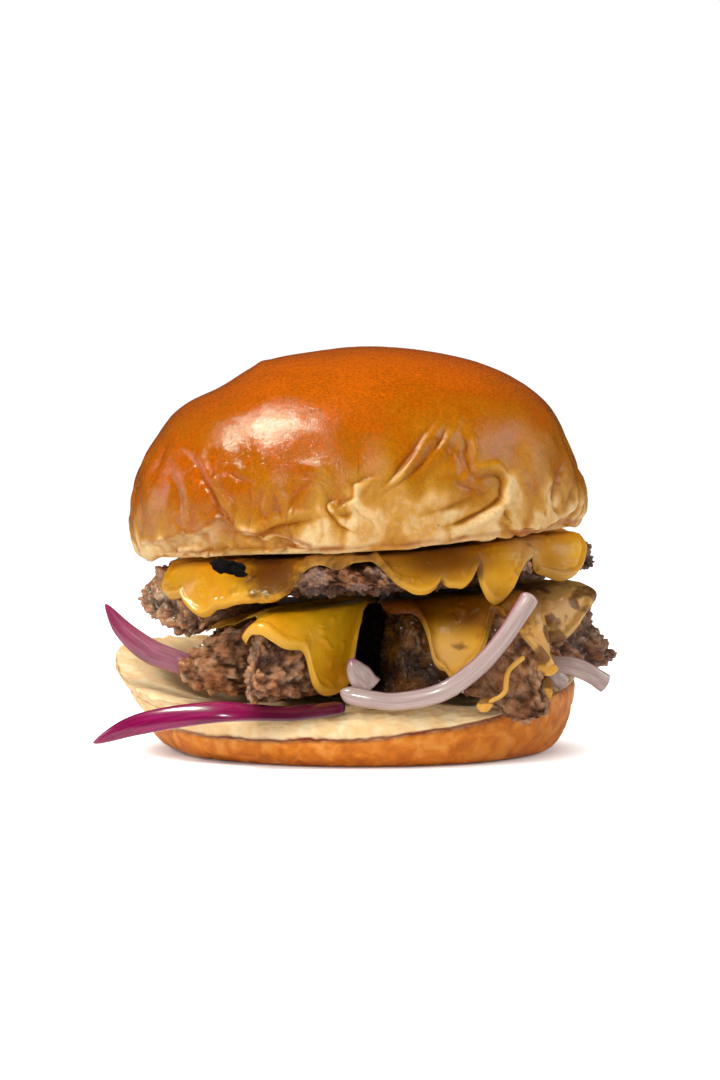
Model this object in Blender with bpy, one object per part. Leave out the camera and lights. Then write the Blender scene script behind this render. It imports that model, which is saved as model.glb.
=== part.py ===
"""A smash burger: a glazed bun round two crumbly patties, with melted cheese and slices of red onion.

The burger stands on the plane z = 0 with its origin under the middle of the bun. +Z is up, +X is to the
right and -Y is the front. Sizes are in metres. Angles are in degrees, seen from above: 0 is the right
side (+X), 90 the back, 180 the left and -90 the front.

Most pieces are skins: rings of points stacked one after another and closed at both ends. A list of
swells, each (angle, width, reach), says where an edge stands out or draws in on its way round. A lump,
(angle, turn, width, height, reach), is a swell at one level of a patty's rounded edge.
"""

import itertools

import bpy
import numpy as np

# Gaps that keep touching pieces apart
CLEARANCE = 0.0004

# Crown: the top half of the bun, a dome over a slanting cut
CROWN_RADIUS = 0.0549
CROWN_SWELLS = ((-20, 28, 0.0006), (35, 30, -0.0008), (90, 45, -0.0015), (150, 25, 0.0005), (-125, 30, -0.0008))
CROWN_TOP = 0.0977
CROWN_WIDEST = 0.0595
CROWN_ROUNDNESS = 2.17
CROWN_ROUNDNESS_SKEW = 0.17
CROWN_RIM_TUCK = 0.0014
CROWN_RIM_ROUND = 0.0013
CROWN_FLOOR_HOLLOW = 0.0004

# The cut under the crown: its height in the middle, and its slopes to the right and to the back
CUT_HEIGHT = 0.0512
CUT_SLOPE_RIGHT = 0.0733
CUT_SLOPE_BACK = 0.020
CUT_WAVE = 0.0005

# Heel: the bottom half of the bun, a shallow tray whose left and right rims curl up
HEEL_FOOT_RADIUS = 0.0435
HEEL_CREASE_RADIUS = 0.0505
HEEL_CREASE_RADIUS_SWELLS = ((0, 60, 0.0022), (100, 40, -0.0006))
HEEL_CREASE_HEIGHT = 0.0060
HEEL_CREASE_SWELLS = ((0, 60, 0.0115), (90, 55, 0.0050), (180, 40, 0.0020))
HEEL_LIP_RADIUS = 0.0450
HEEL_LIP_HEIGHT = 0.0130
HEEL_SIDE_SLOPE = 0.8
HEEL_PLATEAU = 0.0130
HEEL_PLATEAU_RADIUS = 0.0300
HEEL_LEFT_CURL = (176, 44)
HEEL_LEFT_CURL_OUT = 0.0130
HEEL_LEFT_LIFT = (154, 36)
HEEL_LEFT_LIFT_UP = 0.0115
HEEL_LEFT_STRAIGHT = 0.75
HEEL_RIGHT_CURL = (6, 24)
HEEL_RIGHT_CURL_OUT = 0.0055
HEEL_RIGHT_CURL_UP = 0.0062
HEEL_BACK_CURL = (90, 60)
HEEL_BACK_CURL_UP = 0.0010

# Upper patty. Its left end sags out from under the cheese.
UPPER_CENTRE = (0.0012, 0.0)
UPPER_RADIUS = 0.0485
UPPER_SWELLS = (
    (178, 22, 0.0060),
    (-145, 12, 0.0014),
    (-98, 16, -0.0016),
    (-62, 10, 0.0014),
    (-46, 7, 0.0020),
    (-26, 6, -0.0040),
    (2, 14, 0.0062),
    (60, 12, 0.0020),
    (98, 14, -0.0020),
    (128, 10, 0.0022),
)
UPPER_LUMPS = (
    (-162, -30, 9, 45, 0.0022),
    (-84, -35, 8, 40, 0.0016),
    (-35, -30, 6, 40, 0.0014),
)
UPPER_DEPTH = 0.0094
UPPER_LEFT_SAG = (-176, 34, 0.0050)
UPPER_EDGE = 0.0047

# Lower patty, which has broken into lumps round its edge
LOWER_CENTRE = (0.0060, 0.0)
LOWER_RADIUS = 0.0440
LOWER_SWELLS = (
    (178, 26, 0.0015),
    (-140, 9.5, 0.0140),
    (-128, 3.5, -0.0035),
    (-116, 8.5, 0.0140),
    (-96, 9.5, -0.0230),
    (-73, 13, -0.0060),
    (-49, 10, 0.0110),
    (-30, 5, -0.0095),
    (3, 14, 0.0125),
    (40, 10, -0.0030),
    (68, 12, 0.0045),
    (92, 7, -0.0050),
    (118, 13, 0.0055),
    (150, 8, -0.0030),
)
LOWER_LUMPS = (
    (-116, -38, 9, 34, 0.0035),
    (-50, -52, 10.5, 34, 0.0068),
    (-12, -40, 7, 30, 0.0022),
    (18, 10, 8, 35, 0.0016),
)
LOWER_TOP = 0.0362
LOWER_TOP_SLOPE = 0.085
LOWER_BOTTOM = 0.0140
LOWER_BOTTOM_SWELLS = ((0, 22, 0.0032), (-50, 9, -0.0040), (-109, 14, 0.0012))
LOWER_EDGE = 0.0095
LOWER_HEADROOM = 0.0024

# Crumbs of meat: each is a rounded lump, and creases run between them
CRUMB_SIZE = 0.0066
CRUMB_CREASE = 0.0026
CRUMB_CROWN = 0.25
CRUMB_EDGE = 0.75

# Cheese slices, melted over each patty. The drips give how far the cheese hangs down at each angle.
CHEESE_THICKNESS = 0.0013
CHEESE_LEAST_HANG = 0.0003
UPPER_CHEESE_HANG = 0.0024
UPPER_CHEESE_DRIPS = (
    (178, 24, -0.0040),
    (-142, 10, 0.0085),
    (-128, 8, 0.0052),
    (-115, 9, 0.0072),
    (-72, 9, 0.0052),
    (-58, 6, 0.0070),
    (-47, 6, 0.0085),
    (-14, 13, 0.0055),
    (40, 14, 0.0050),
    (75, 9, 0.0040),
    (108, 12, 0.0085),
    (140, 10, 0.0050),
)
LOWER_CHEESE_HANG = 0.0020
LOWER_CHEESE_DRIPS = (
    (-141, 15, -0.0060),
    (-112, 7.0, 0.0150),
    (-120, 6.0, 0.0035),
    (-78, 9, 0.0090),
    (-64, 6, 0.0085),
    (-47, 6, 0.0150),
    (-12, 13, 0.0085),
    (28, 14, 0.0060),
    (66, 10, 0.0100),
    (118, 12, 0.0080),
    (160, 12, 0.0045),
)

# Slices of red onion: points along the middle, then width, thickness, and the way the broad side faces
# from the first end to the last
ONIONS = {
    "onion_long": {
        "along": (
            (-0.0614, -0.0360, 0.0042),
            (-0.0527, -0.0420, 0.0088),
            (-0.0431, -0.0465, 0.0127),
            (-0.0327, -0.0492, 0.0142),
            (-0.0245, -0.0490, 0.0141),
            (-0.0150, -0.0478, 0.0138),
            (-0.0030, -0.0470, 0.0145),
        ),
        "width": 0.0046,
        "thickness": 0.0014,
        "faces": ((-0.15, -0.84, 0.50), (-0.05, -0.80, 0.60), (0.00, -0.12, 1.00), (0.05, -0.55, 0.84)),
        "points": 0.9,
    },
    "onion_peak": {
        "along": (
            (-0.0597, -0.0170, 0.0361),
            (-0.0548, -0.0190, 0.0304),
            (-0.0492, -0.0210, 0.0262),
            (-0.0415, -0.0240, 0.0240),
        ),
        "width": 0.0052,
        "thickness": 0.0016,
        "faces": ((-0.25, -0.93, 0.25), (-0.25, -0.93, 0.25)),
        "points": 0.8,
    },
    "onion_arc": {
        "along": (
            (-0.0020, -0.0465, 0.0178),
            (0.0022, -0.0475, 0.0160),
            (0.0095, -0.0480, 0.0158),
            (0.0190, -0.0480, 0.0180),
            (0.0270, -0.0485, 0.0231),
            (0.0327, -0.0490, 0.0295),
            (0.0371, -0.0488, 0.0360),
            (0.0396, -0.0480, 0.0399),
        ),
        "width": 0.0042,
        "thickness": 0.0024,
        "faces": ((0.00, -0.90, 0.44), (0.20, -0.95, 0.22)),
        "points": 0.0,
    },
    "onion_stub": {
        "along": (
            (-0.0014, -0.0430, 0.0243),
            (0.0000, -0.0430, 0.0218),
            (0.0020, -0.0430, 0.0190),
        ),
        "width": 0.0052,
        "thickness": 0.0016,
        "faces": ((0.25, -0.95, 0.15), (0.25, -0.95, 0.15)),
        "points": 0.6,
    },
    "onion_ledge": {
        "along": (
            (0.0440, -0.0265, 0.0226),
            (0.0495, -0.0270, 0.0222),
            (0.0540, -0.0265, 0.0205),
            (0.0575, -0.0255, 0.0178),
        ),
        "width": 0.0038,
        "thickness": 0.0015,
        "faces": ((0.15, -0.70, 0.70), (0.30, -0.90, 0.30)),
        "points": 0.2,
    },
    "onion_rim": {
        "along": (
            (0.0452, -0.0232, 0.0210),
            (0.0470, -0.0224, 0.0192),
            (0.0484, -0.0212, 0.0182),
        ),
        "width": 0.0034,
        "thickness": 0.0014,
        "faces": ((0.45, -0.85, 0.20), (0.45, -0.85, 0.20)),
        "points": 0.3,
    },
}
ONION_CURVE = 0.0007

# Flake of charred crust that hangs from the crown's rim
CHAR_FLAKE_MIDDLE = (-0.0296, -0.0440, 0.0459)
CHAR_FLAKE_SIZE = (0.0036, 0.0007, 0.0020)
CHAR_FLAKE_LEAN = 0.0012
CHAR_FLAKE_RAGGED = 0.25
CHAR_FLAKE_AROUND = 14

# How finely each skin is divided, and how the inner rings of a bare end of cheese are spread
BUN_AROUND = 48
PATTY_AROUND = 84
CHEESE_LEVELS = 25
CHEESE_SPREAD = 0.8
ONION_AROUND = 8

COLOURS = {
    "crust": (0.78, 0.42, 0.10),
    "meat": (0.42, 0.26, 0.17),
    "cheese": (0.90, 0.64, 0.18),
    "onion_skin": (0.56, 0.05, 0.30),
    "onion_flesh": (0.80, 0.70, 0.68),
    "char": (0.05, 0.04, 0.04),
}
ROUGHNESS = {
    "crust": 0.35,
    "meat": 0.55,
    "cheese": 0.35,
    "onion_skin": 0.30,
    "onion_flesh": 0.40,
    "char": 0.75,
}


def clear_scene():
    """Start from an empty scene."""
    for obj in list(bpy.data.objects):
        bpy.data.objects.remove(obj)


def linear(channel):
    """A display colour channel as the linear value that a shader takes."""
    return ((channel + 0.055) / 1.055) ** 2.4 if channel > 0.04045 else channel / 12.92


def make_material(name):
    """A plain Principled material with the food's colour and gloss."""
    material = bpy.data.materials.new(name)
    material.use_nodes = True
    shader = material.node_tree.nodes["Principled BSDF"]
    shader.inputs["Base Color"].default_value = (*map(linear, COLOURS[name]), 1.0)
    shader.inputs["Roughness"].default_value = ROUGHNESS[name]
    shader.inputs["Metallic"].default_value = 0.0
    return material


def swell(angle, centre, width):
    """A smooth bump of height 1 at one angle, with the width given in degrees."""
    away = (angle - centre + 180) % 360 - 180
    return np.exp(-((away / width) ** 2))


def swelled(angle, base, swells):
    """A value that runs round the burger: a base with a bump or a hollow for each swell."""
    return base + sum(reach * swell(angle, centre, width) for centre, width, reach in swells)


def drip(angle, centre, width):
    """A bump like a swell, with steeper sides and a rounder end."""
    away = np.abs((angle - centre + 180) % 360 - 180)
    return np.exp(-((away / width) ** 3))


def smooth_step(share):
    """Rises smoothly from 0 to 1 as its share does."""
    share = np.clip(share, 0, 1)
    return share * share * (3 - 2 * share)


def hashed(cells, seed):
    """A repeatable number from 0 to 1 for each cell of a whole-number grid."""
    mixed = (cells[..., 0] * 73856093) ^ (cells[..., 1] * 19349663) ^ (cells[..., 2] * 83492791)
    mixed = (mixed ^ (seed * 2654435)) & 0xFFFFFFFF
    mixed = ((mixed ^ (mixed >> 13)) * 1274126177) & 0xFFFFFFFF
    mixed = ((mixed ^ (mixed >> 16)) * 668265263) & 0xFFFFFFFF
    return ((mixed ^ (mixed >> 15)) & 0xFFFFFF) / 0x1000000


def crumb_distance(points, size, seed):
    """How far each point is from the nearest of scattered crumb middles, in crumb sizes."""
    scaled = points / size
    corner = np.floor(scaled).astype(np.int64)
    nearest = np.full(points.shape[:-1], 9.0)
    for step in itertools.product((-1, 0, 1), repeat=3):
        cell = corner + np.array(step)
        centre = cell + np.stack([hashed(cell, seed + axis) for axis in range(3)], axis=-1)
        nearest = np.minimum(nearest, np.linalg.norm(scaled - centre, axis=-1))
    return nearest


def outward(rings):
    """The direction out of a skin at each of its points, from its neighbours along and around."""
    along = np.gradient(rings, axis=0)
    around = np.roll(rings, -1, axis=1) - np.roll(rings, 1, axis=1)
    normal = np.cross(along, around)
    return normal / np.maximum(np.linalg.norm(normal, axis=-1, keepdims=True), 1e-12)


def skin_object(name, rings, material):
    """A closed mesh from rings of points, with a point in the middle of each end."""
    rows, columns = rings.shape[:2]
    points = np.concatenate([rings[0].mean(0)[None], rings.reshape(-1, 3), rings[-1].mean(0)[None]])
    last = len(points) - 1
    faces = []
    for column in range(columns):
        after = (column + 1) % columns
        faces.append((0, 1 + column, 1 + after))
        base = 1 + (rows - 1) * columns
        faces.append((base + column, last, base + after))
        for row in range(rows - 1):
            here = 1 + row * columns
            below = here + columns
            faces.append((here + column, below + column, below + after, here + after))
    mesh = bpy.data.meshes.new(name)
    mesh.from_pydata(points.tolist(), [], faces)
    mesh.materials.append(material)
    mesh.shade_smooth()
    mesh.validate()
    obj = bpy.data.objects.new(name, mesh)
    bpy.context.scene.collection.objects.link(obj)
    return obj


def circle_angles(columns):
    """Evenly spaced angles round the burger."""
    return np.arange(columns) * 360 / columns


def placed(angle, radius, height, centre=(0.0, 0.0)):
    """Points at an angle and radius about a centre, at a height."""
    turn = np.radians(angle)
    x = centre[0] + radius * np.cos(turn)
    y = centre[1] + radius * np.sin(turn)
    return np.stack(np.broadcast_arrays(x, y, height), axis=-1)


def cut_plane(x, y):
    """Height of the crown's cut face, which slants and waves a little."""
    wave = CUT_WAVE * np.sin(x / 0.012 + 1.0) * np.cos(y / 0.017)
    return CUT_HEIGHT + CUT_SLOPE_RIGHT * x + CUT_SLOPE_BACK * y + wave


def crown_rings():
    """The dome from its top down to where it is widest, its wall down to the rim, and the cut face."""
    angle = circle_angles(BUN_AROUND)
    radius = swelled(angle, CROWN_RADIUS, CROWN_SWELLS)
    power = 2 / (CROWN_ROUNDNESS + CROWN_ROUNDNESS_SKEW * np.cos(np.radians(angle)))
    rings = []
    for lift in np.radians(np.linspace(83, 0, 12)):
        height = CROWN_WIDEST + (CROWN_TOP - CROWN_WIDEST) * np.sin(lift) ** power
        rings.append(placed(angle, radius * np.cos(lift) ** power, height))
    rim_radius = radius - CROWN_RIM_TUCK
    rim = cut_plane(*np.moveaxis(placed(angle, rim_radius, 0)[:, :2], 1, 0))
    for share in (0.35, 0.7, 0.92):
        wall_radius = radius - CROWN_RIM_TUCK * share**2
        rings.append(placed(angle, wall_radius, CROWN_WIDEST + (rim - CROWN_WIDEST) * share))
    for share in (0.975, 0.85, 0.6, 0.3):
        floor_radius = (rim_radius - CROWN_RIM_ROUND) * share / 0.975
        ring = placed(angle, floor_radius, 0)
        ring[:, 2] = cut_plane(ring[:, 0], ring[:, 1]) + CROWN_FLOOR_HOLLOW * (1 - share)
        rings.append(ring)
    return np.array(rings)


def curl(angle, where):
    """How far the heel's rim is curled up at an angle: a bump with a broad top."""
    return 1 - (1 - swell(angle, *where)) ** 2


def heel_lip(angle):
    """Radius and height of the heel's upper edge."""
    left = curl(angle, HEEL_LEFT_CURL)
    right = curl(angle, HEEL_RIGHT_CURL)
    back = curl(angle, HEEL_BACK_CURL)
    radius = HEEL_LIP_RADIUS + HEEL_LEFT_CURL_OUT * left + HEEL_RIGHT_CURL_OUT * right
    height = HEEL_LIP_HEIGHT + HEEL_LEFT_LIFT_UP * curl(angle, HEEL_LEFT_LIFT)
    height = height + HEEL_RIGHT_CURL_UP * right + HEEL_BACK_CURL_UP * back
    return radius, height


def heel_crease(angle):
    """Radius and height of the line where the brown crust meets the pale crumb."""
    radius = swelled(angle, HEEL_CREASE_RADIUS, HEEL_CREASE_RADIUS_SWELLS)
    height = swelled(angle, HEEL_CREASE_HEIGHT, HEEL_CREASE_SWELLS)
    return radius, height


def heel_top(x, y):
    """Height that clears the heel: over the flat middle, the lip and the shoulder, and falling outside it."""
    angle = np.degrees(np.arctan2(y, x))
    radius = np.hypot(x, y)
    lip_radius, lip_height = heel_lip(angle)
    crease_radius, crease_height = heel_crease(angle)
    rise = smooth_step((radius - HEEL_PLATEAU_RADIUS) / (lip_radius - HEEL_PLATEAU_RADIUS))
    inside = HEEL_PLATEAU + (lip_height - HEEL_PLATEAU) * rise
    run = np.maximum(crease_radius - lip_radius, 0.001)
    out = np.clip((radius - lip_radius) / run, 0, 1)
    shoulder = crease_height + (lip_height - crease_height) * np.sqrt(1 - out**2)
    beyond = radius - np.maximum(lip_radius, crease_radius)
    slope = np.minimum(lip_height, shoulder) - HEEL_SIDE_SLOPE * np.maximum(beyond, 0)
    return np.where(radius <= lip_radius, inside, slope)


def heel_rings():
    """The heel from the middle of its foot out over the crust, the crumb shoulder and the lip to its top."""
    angle = circle_angles(BUN_AROUND)
    lip_radius, lip_height = heel_lip(angle)
    crease_radius, crease_height = heel_crease(angle)
    rings = [placed(angle, HEEL_FOOT_RADIUS * share, 0.0) for share in (0.4, 0.8, 1.0)]
    for turn in np.radians((25, 50, 72, 90)):
        radius = HEEL_FOOT_RADIUS + (crease_radius - HEEL_FOOT_RADIUS) * np.sin(turn)
        rings.append(placed(angle, radius, crease_height * (1 - np.cos(turn))))
    straight = HEEL_LEFT_STRAIGHT * curl(angle, HEEL_LEFT_CURL)
    for turn in np.radians((28, 52, 74, 90)):
        share = (1 - np.cos(turn)) * (1 - straight) + np.sin(turn) ** 1.5 * straight
        radius = crease_radius + (lip_radius - crease_radius) * share
        height = crease_height + (lip_height - crease_height) * np.sin(turn)
        rings.append(placed(angle, radius, height))
    for share in (0.93, 0.8, 0.65, 0.5, 0.3):
        ring = placed(angle, lip_radius * share, 0.0)
        ring[:, 2] = heel_top(ring[:, 0], ring[:, 1])
        rings.append(ring)
    return np.array(rings)[::-1]


def upper_top(x, y):
    """Height of the upper patty's top, a cheese slice under the crown."""
    return cut_plane(x, y) - CHEESE_THICKNESS - 2.2 * CLEARANCE


def upper_bottom(x, y):
    """Height of the upper patty's underside, which sags at the left."""
    angle = np.degrees(np.arctan2(y, x))
    centre, width, sag = UPPER_LEFT_SAG
    reach = smooth_step(np.hypot(x, y) / UPPER_RADIUS) ** 2
    return upper_top(x, y) - UPPER_DEPTH - sag * swell(angle, centre, width) * reach


def lower_top(x, y):
    """Height of the lower patty's top, pressed down by the patty above where that sags."""
    return np.minimum(LOWER_TOP + LOWER_TOP_SLOPE * x, upper_bottom(x, y) - LOWER_HEADROOM)


def lower_bottom(x, y):
    """Height of the lower patty's underside, held up by the heel where that curls."""
    angle = np.degrees(np.arctan2(y, x))
    free = swelled(angle, LOWER_BOTTOM, LOWER_BOTTOM_SWELLS)
    return np.maximum(free, heel_top(x, y) + 2.5 * CLEARANCE)


def patty_ring(shape, turn):
    """One ring of a patty's rounded edge. The turn is 90 degrees on top, 0 at the middle and -90 below."""
    angle = circle_angles(PATTY_AROUND)
    radius = swelled(angle, shape["radius"], shape["swells"])
    radius = radius - shape["edge"] * (1 - np.cos(np.radians(turn)))
    for centre, level, width, tall, reach in shape["lumps"]:
        radius = radius + reach * swell(angle, centre, width) * np.exp(-(((turn - level) / tall) ** 2))
    ring = placed(angle, radius, 0.0, shape["centre"])
    above = shape["top"](ring[:, 0], ring[:, 1])
    below = shape["bottom"](ring[:, 0], ring[:, 1])
    ring[:, 2] = (above + below) / 2 + (above - below) / 2 * np.sin(np.radians(turn))
    return ring


def face_ring(shape, share, level):
    """A ring on the flat top or underside of a patty, at a share of the way out to its edge."""
    angle = circle_angles(PATTY_AROUND)
    radius = (swelled(angle, shape["radius"], shape["swells"]) - shape["edge"]) * share
    ring = placed(angle, radius, 0.0, shape["centre"])
    ring[:, 2] = shape[level](ring[:, 0], ring[:, 1])
    return ring


def patty_rings(shape):
    """A flat slab with a rounded edge: out over the top, round the edge and back underneath."""
    rings = [face_ring(shape, share, "top") for share in (0.35, 0.75)]
    rings += [patty_ring(shape, turn) for turn in np.linspace(84, -84, 9)]
    rings += [face_ring(shape, share, "bottom") for share in (0.9, 0.75, 0.45)]
    return np.array(rings)


def crumbled(rings, seed):
    """The same slab with creases pressed in between its crumbs, so that it stays inside its first shape."""
    distance = crumb_distance(rings, CRUMB_SIZE, seed)
    depth = CRUMB_CREASE * smooth_step((distance - CRUMB_CROWN) / (CRUMB_EDGE - CRUMB_CROWN))
    return rings - outward(rings) * depth[..., None]


def cheese_rings(shape, hang, drips):
    """A slice melted over a patty: flat on top, down over the edge, and hanging straight where that tucks in.

    Where the drips add up to less than nothing the slice ends on top, that far short of the edge.
    """
    angle = circle_angles(PATTY_AROUND)
    drop = hang + sum(reach * drip(angle, centre, width) for centre, width, reach in drips)
    short = np.minimum(drop, 0)
    drop = np.maximum(drop, CHEESE_LEAST_HANG)
    edge = np.array([patty_ring(shape, turn) for turn in np.linspace(84, -84, CHEESE_LEVELS)])
    centre = np.array((*shape["centre"], 0.0))
    reach = np.maximum.accumulate(np.linalg.norm((edge - centre)[..., :2], axis=-1), axis=0)
    fallen = np.maximum.accumulate(edge[0, :, 2] - edge[..., 2], axis=0)
    base = [face_ring(shape, share, "top") for share in (0.4, 0.75)]
    for share in np.linspace(0, 1, 7) ** 1.4:
        radius = [np.interp(drop[i] * share, fallen[:, i], reach[:, i]) for i in range(PATTY_AROUND)]
        radius = np.array(radius) + short * (1 + CHEESE_SPREAD * (1 - share))
        ring = placed(angle, radius, 0.0, shape["centre"])
        above = np.where(short < 0, shape["top"](ring[:, 0], ring[:, 1]), edge[0, :, 2])
        ring[:, 2] = above - drop * share
        base.append(ring)
    base = np.array(base)
    normal = outward(base)
    normal[:2] = (0, 0, 1)
    taper = np.ones((len(base), 1, 1))
    taper[-1] = 0.45
    inner = base + normal * CLEARANCE
    outer = inner + normal * CHEESE_THICKNESS * taper
    return np.concatenate([outer, inner[::-1]])


def curve_through(points, count):
    """Points evenly spread along a smooth curve through the given ones."""
    points = np.array(points)
    before = 2 * points[0] - points[1]
    after = 2 * points[-1] - points[-2]
    padded = np.vstack([before, points, after])
    place = np.linspace(0, len(points) - 1, count)
    index = np.minimum(place.astype(int), len(points) - 2)
    share = (place - index)[:, None]
    a, b, c, d = (padded[index + offset] for offset in range(4))
    return 0.5 * (
        2 * b + (c - a) * share + (2 * a - 5 * b + 4 * c - d) * share**2 + (3 * b - a - 3 * c + d) * share**3
    )


def onion_rings(along, width, thickness, faces, points):
    """A strip with a gently curved section carried along a curve. It narrows towards its first end."""
    line = curve_through(along, 3 * len(along))
    tangent = np.gradient(line, axis=0)
    tangent /= np.linalg.norm(tangent, axis=1, keepdims=True)
    across = np.cross(tangent, curve_through(faces, len(line)))
    across /= np.linalg.norm(across, axis=1, keepdims=True)
    broad = np.cross(across, tangent)
    share = np.linspace(0, 1, len(line))
    narrow = 1 - points * (1 - np.minimum(share / 0.55, 1)) ** 1.5
    rings = []
    for here, side, face, scale in zip(line, across, broad, narrow):
        turn = np.radians(circle_angles(ONION_AROUND))
        u = np.sign(np.cos(turn)) * np.abs(np.cos(turn)) ** 0.6
        v = np.sign(np.sin(turn)) * np.abs(np.sin(turn)) ** 0.6
        bow = ONION_CURVE * (1 - u**2)
        ring = here + np.outer(u * width / 2 * scale, side)
        ring = ring + np.outer(v * thickness / 2 * (0.4 + 0.6 * scale) + bow * scale, face)
        rings.append(ring)
    return np.array(rings)


def char_flake_rings():
    """A thin dark flake with a ragged edge, leaning to the right at its top."""
    width, thickness, height = CHAR_FLAKE_SIZE
    turn = np.arange(CHAR_FLAKE_AROUND) * 2 * np.pi / CHAR_FLAKE_AROUND
    rings = []
    for rise in np.radians(np.linspace(70, -70, 7)):
        radial = np.cos(rise) * (1 + CHAR_FLAKE_RAGGED * np.sin(3 * turn + 4 * rise))
        x = width * radial * np.cos(turn) + CHAR_FLAKE_LEAN * np.sin(rise)
        y = thickness * radial * np.sin(turn)
        z = np.full(CHAR_FLAKE_AROUND, height * np.sin(rise))
        rings.append(np.stack([x, y, z], axis=-1) + np.array(CHAR_FLAKE_MIDDLE))
    return np.array(rings)


def build_bun(materials):
    """The two halves of the bun."""
    skin_object("bun_crown", crown_rings(), materials["crust"])
    skin_object("bun_heel", heel_rings(), materials["crust"])


def patty_shapes():
    """What the two patties are like: where they lie, how far out they reach, and what is above and below."""
    upper = {
        "centre": UPPER_CENTRE,
        "radius": UPPER_RADIUS,
        "swells": UPPER_SWELLS,
        "lumps": UPPER_LUMPS,
        "edge": UPPER_EDGE,
        "top": upper_top,
        "bottom": upper_bottom,
    }
    lower = {
        "centre": LOWER_CENTRE,
        "radius": LOWER_RADIUS,
        "swells": LOWER_SWELLS,
        "lumps": LOWER_LUMPS,
        "edge": LOWER_EDGE,
        "top": lower_top,
        "bottom": lower_bottom,
    }
    return upper, lower


def build_fillings(materials):
    """The two patties, each with its slice of cheese."""
    upper, lower = patty_shapes()
    skin_object("patty_upper", crumbled(patty_rings(upper), 11), materials["meat"])
    skin_object("patty_lower", crumbled(patty_rings(lower), 23), materials["meat"])
    upper_slice = cheese_rings(upper, UPPER_CHEESE_HANG, UPPER_CHEESE_DRIPS)
    skin_object("cheese_upper", upper_slice, materials["cheese"])
    lower_slice = cheese_rings(lower, LOWER_CHEESE_HANG, LOWER_CHEESE_DRIPS)
    skin_object("cheese_lower", lower_slice, materials["cheese"])


def build_trimmings(materials):
    """The onion slices and the charred flake."""
    for name, shape in ONIONS.items():
        skinned = name in ("onion_long", "onion_peak")
        skin_object(name, onion_rings(**shape), materials["onion_skin" if skinned else "onion_flesh"])
    skin_object("char_flake", char_flake_rings(), materials["char"])


def main():
    clear_scene()
    materials = {name: make_material(name) for name in COLOURS}
    build_bun(materials)
    build_fillings(materials)
    build_trimmings(materials)


main()
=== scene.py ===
"""Looks of the smash burger: glazed bun, crumbly patties, melted cheese and red onion, on a pale floor.

Lengths are in metres unless a name ends in MM, and angles in degrees seen from above: 0 is the right side
(+X), 90 the back, 180 the left and -90 the front. Every piece is a skin: a grid of points whose rows are
closed rings, stacked from one end to the other, with a middle point at each end. A swell in a radius or
a height is (angle, width, size), and a lump on a patty's edge is (angle, level, width, height, size).
"""

import itertools
import math

import bpy
import numpy as np
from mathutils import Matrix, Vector


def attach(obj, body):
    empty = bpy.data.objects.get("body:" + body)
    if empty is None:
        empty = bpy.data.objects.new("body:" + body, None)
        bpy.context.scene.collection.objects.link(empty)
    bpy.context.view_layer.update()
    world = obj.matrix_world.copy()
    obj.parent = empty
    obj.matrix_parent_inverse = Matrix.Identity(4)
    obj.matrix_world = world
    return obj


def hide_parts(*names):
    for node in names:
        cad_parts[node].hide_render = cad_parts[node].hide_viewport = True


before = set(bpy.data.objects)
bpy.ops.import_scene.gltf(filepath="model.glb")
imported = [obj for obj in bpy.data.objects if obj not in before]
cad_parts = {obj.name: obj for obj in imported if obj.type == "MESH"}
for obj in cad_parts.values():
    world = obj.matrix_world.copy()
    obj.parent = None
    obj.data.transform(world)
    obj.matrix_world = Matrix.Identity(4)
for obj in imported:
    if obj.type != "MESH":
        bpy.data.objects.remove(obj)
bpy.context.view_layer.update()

# Camera and light
CAMERA_TARGET = Vector((0.0004, 0.0, 0.0508))
CAMERA_DISTANCE = 0.80
CAMERA_HEIGHT_ANGLE = 1.95
CAMERA_LENS = 109.8
CAMERA_NEAREST = 0.01
WHITE = (1.0, 1.0, 1.0)
WINDOW_TINT = (0.82, 1.0, 0.76)
# Each soft box: direction and distance from the burger, width and height, power, tint, which rays see it
SOFTBOXES = {
    "overhead": ((-0.24, -0.14, 0.95), 0.85, (0.42, 0.42), 5.4, WHITE, "diffuse"),
    "window": ((-0.53, -0.09, 0.81), 0.85, (0.25, 0.10), 11.0, WINDOW_TINT, "glossy"),
    "spark": ((-0.22, -0.82, 0.53), 0.90, (0.10, 0.10), 1.6, WHITE, "glossy"),
    "front": ((-0.62, -0.60, 0.50), 1.60, (0.42, 0.42), 8.4, WHITE, "diffuse"),
    "low": ((-0.20, -0.95, 0.02), 1.60, (1.40, 1.40), 10.0, WHITE, "diffuse"),
    "left": ((-0.93, 0.31, 0.14), 1.10, (0.22, 0.40), 1.4, WHITE, "glossy"),
    "right": ((0.90, 0.06, 0.38), 1.20, (0.80, 0.80), 4.2, WHITE, "both"),
}
WORLD_SEEN = 1.05
WORLD_LIGHT = 0.20
WORLD_MIRRORED = 0.03
FLOOR_SIZE = 30.0
FLOOR_COLOUR = (0.93, 0.93, 0.93, 1.0)
FLOOR_GLOW_NEAR = 0.08
FLOOR_GLOW_FAR = 0.90
FLOOR_GLOW_REACH = (0.042, 0.062)

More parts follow.
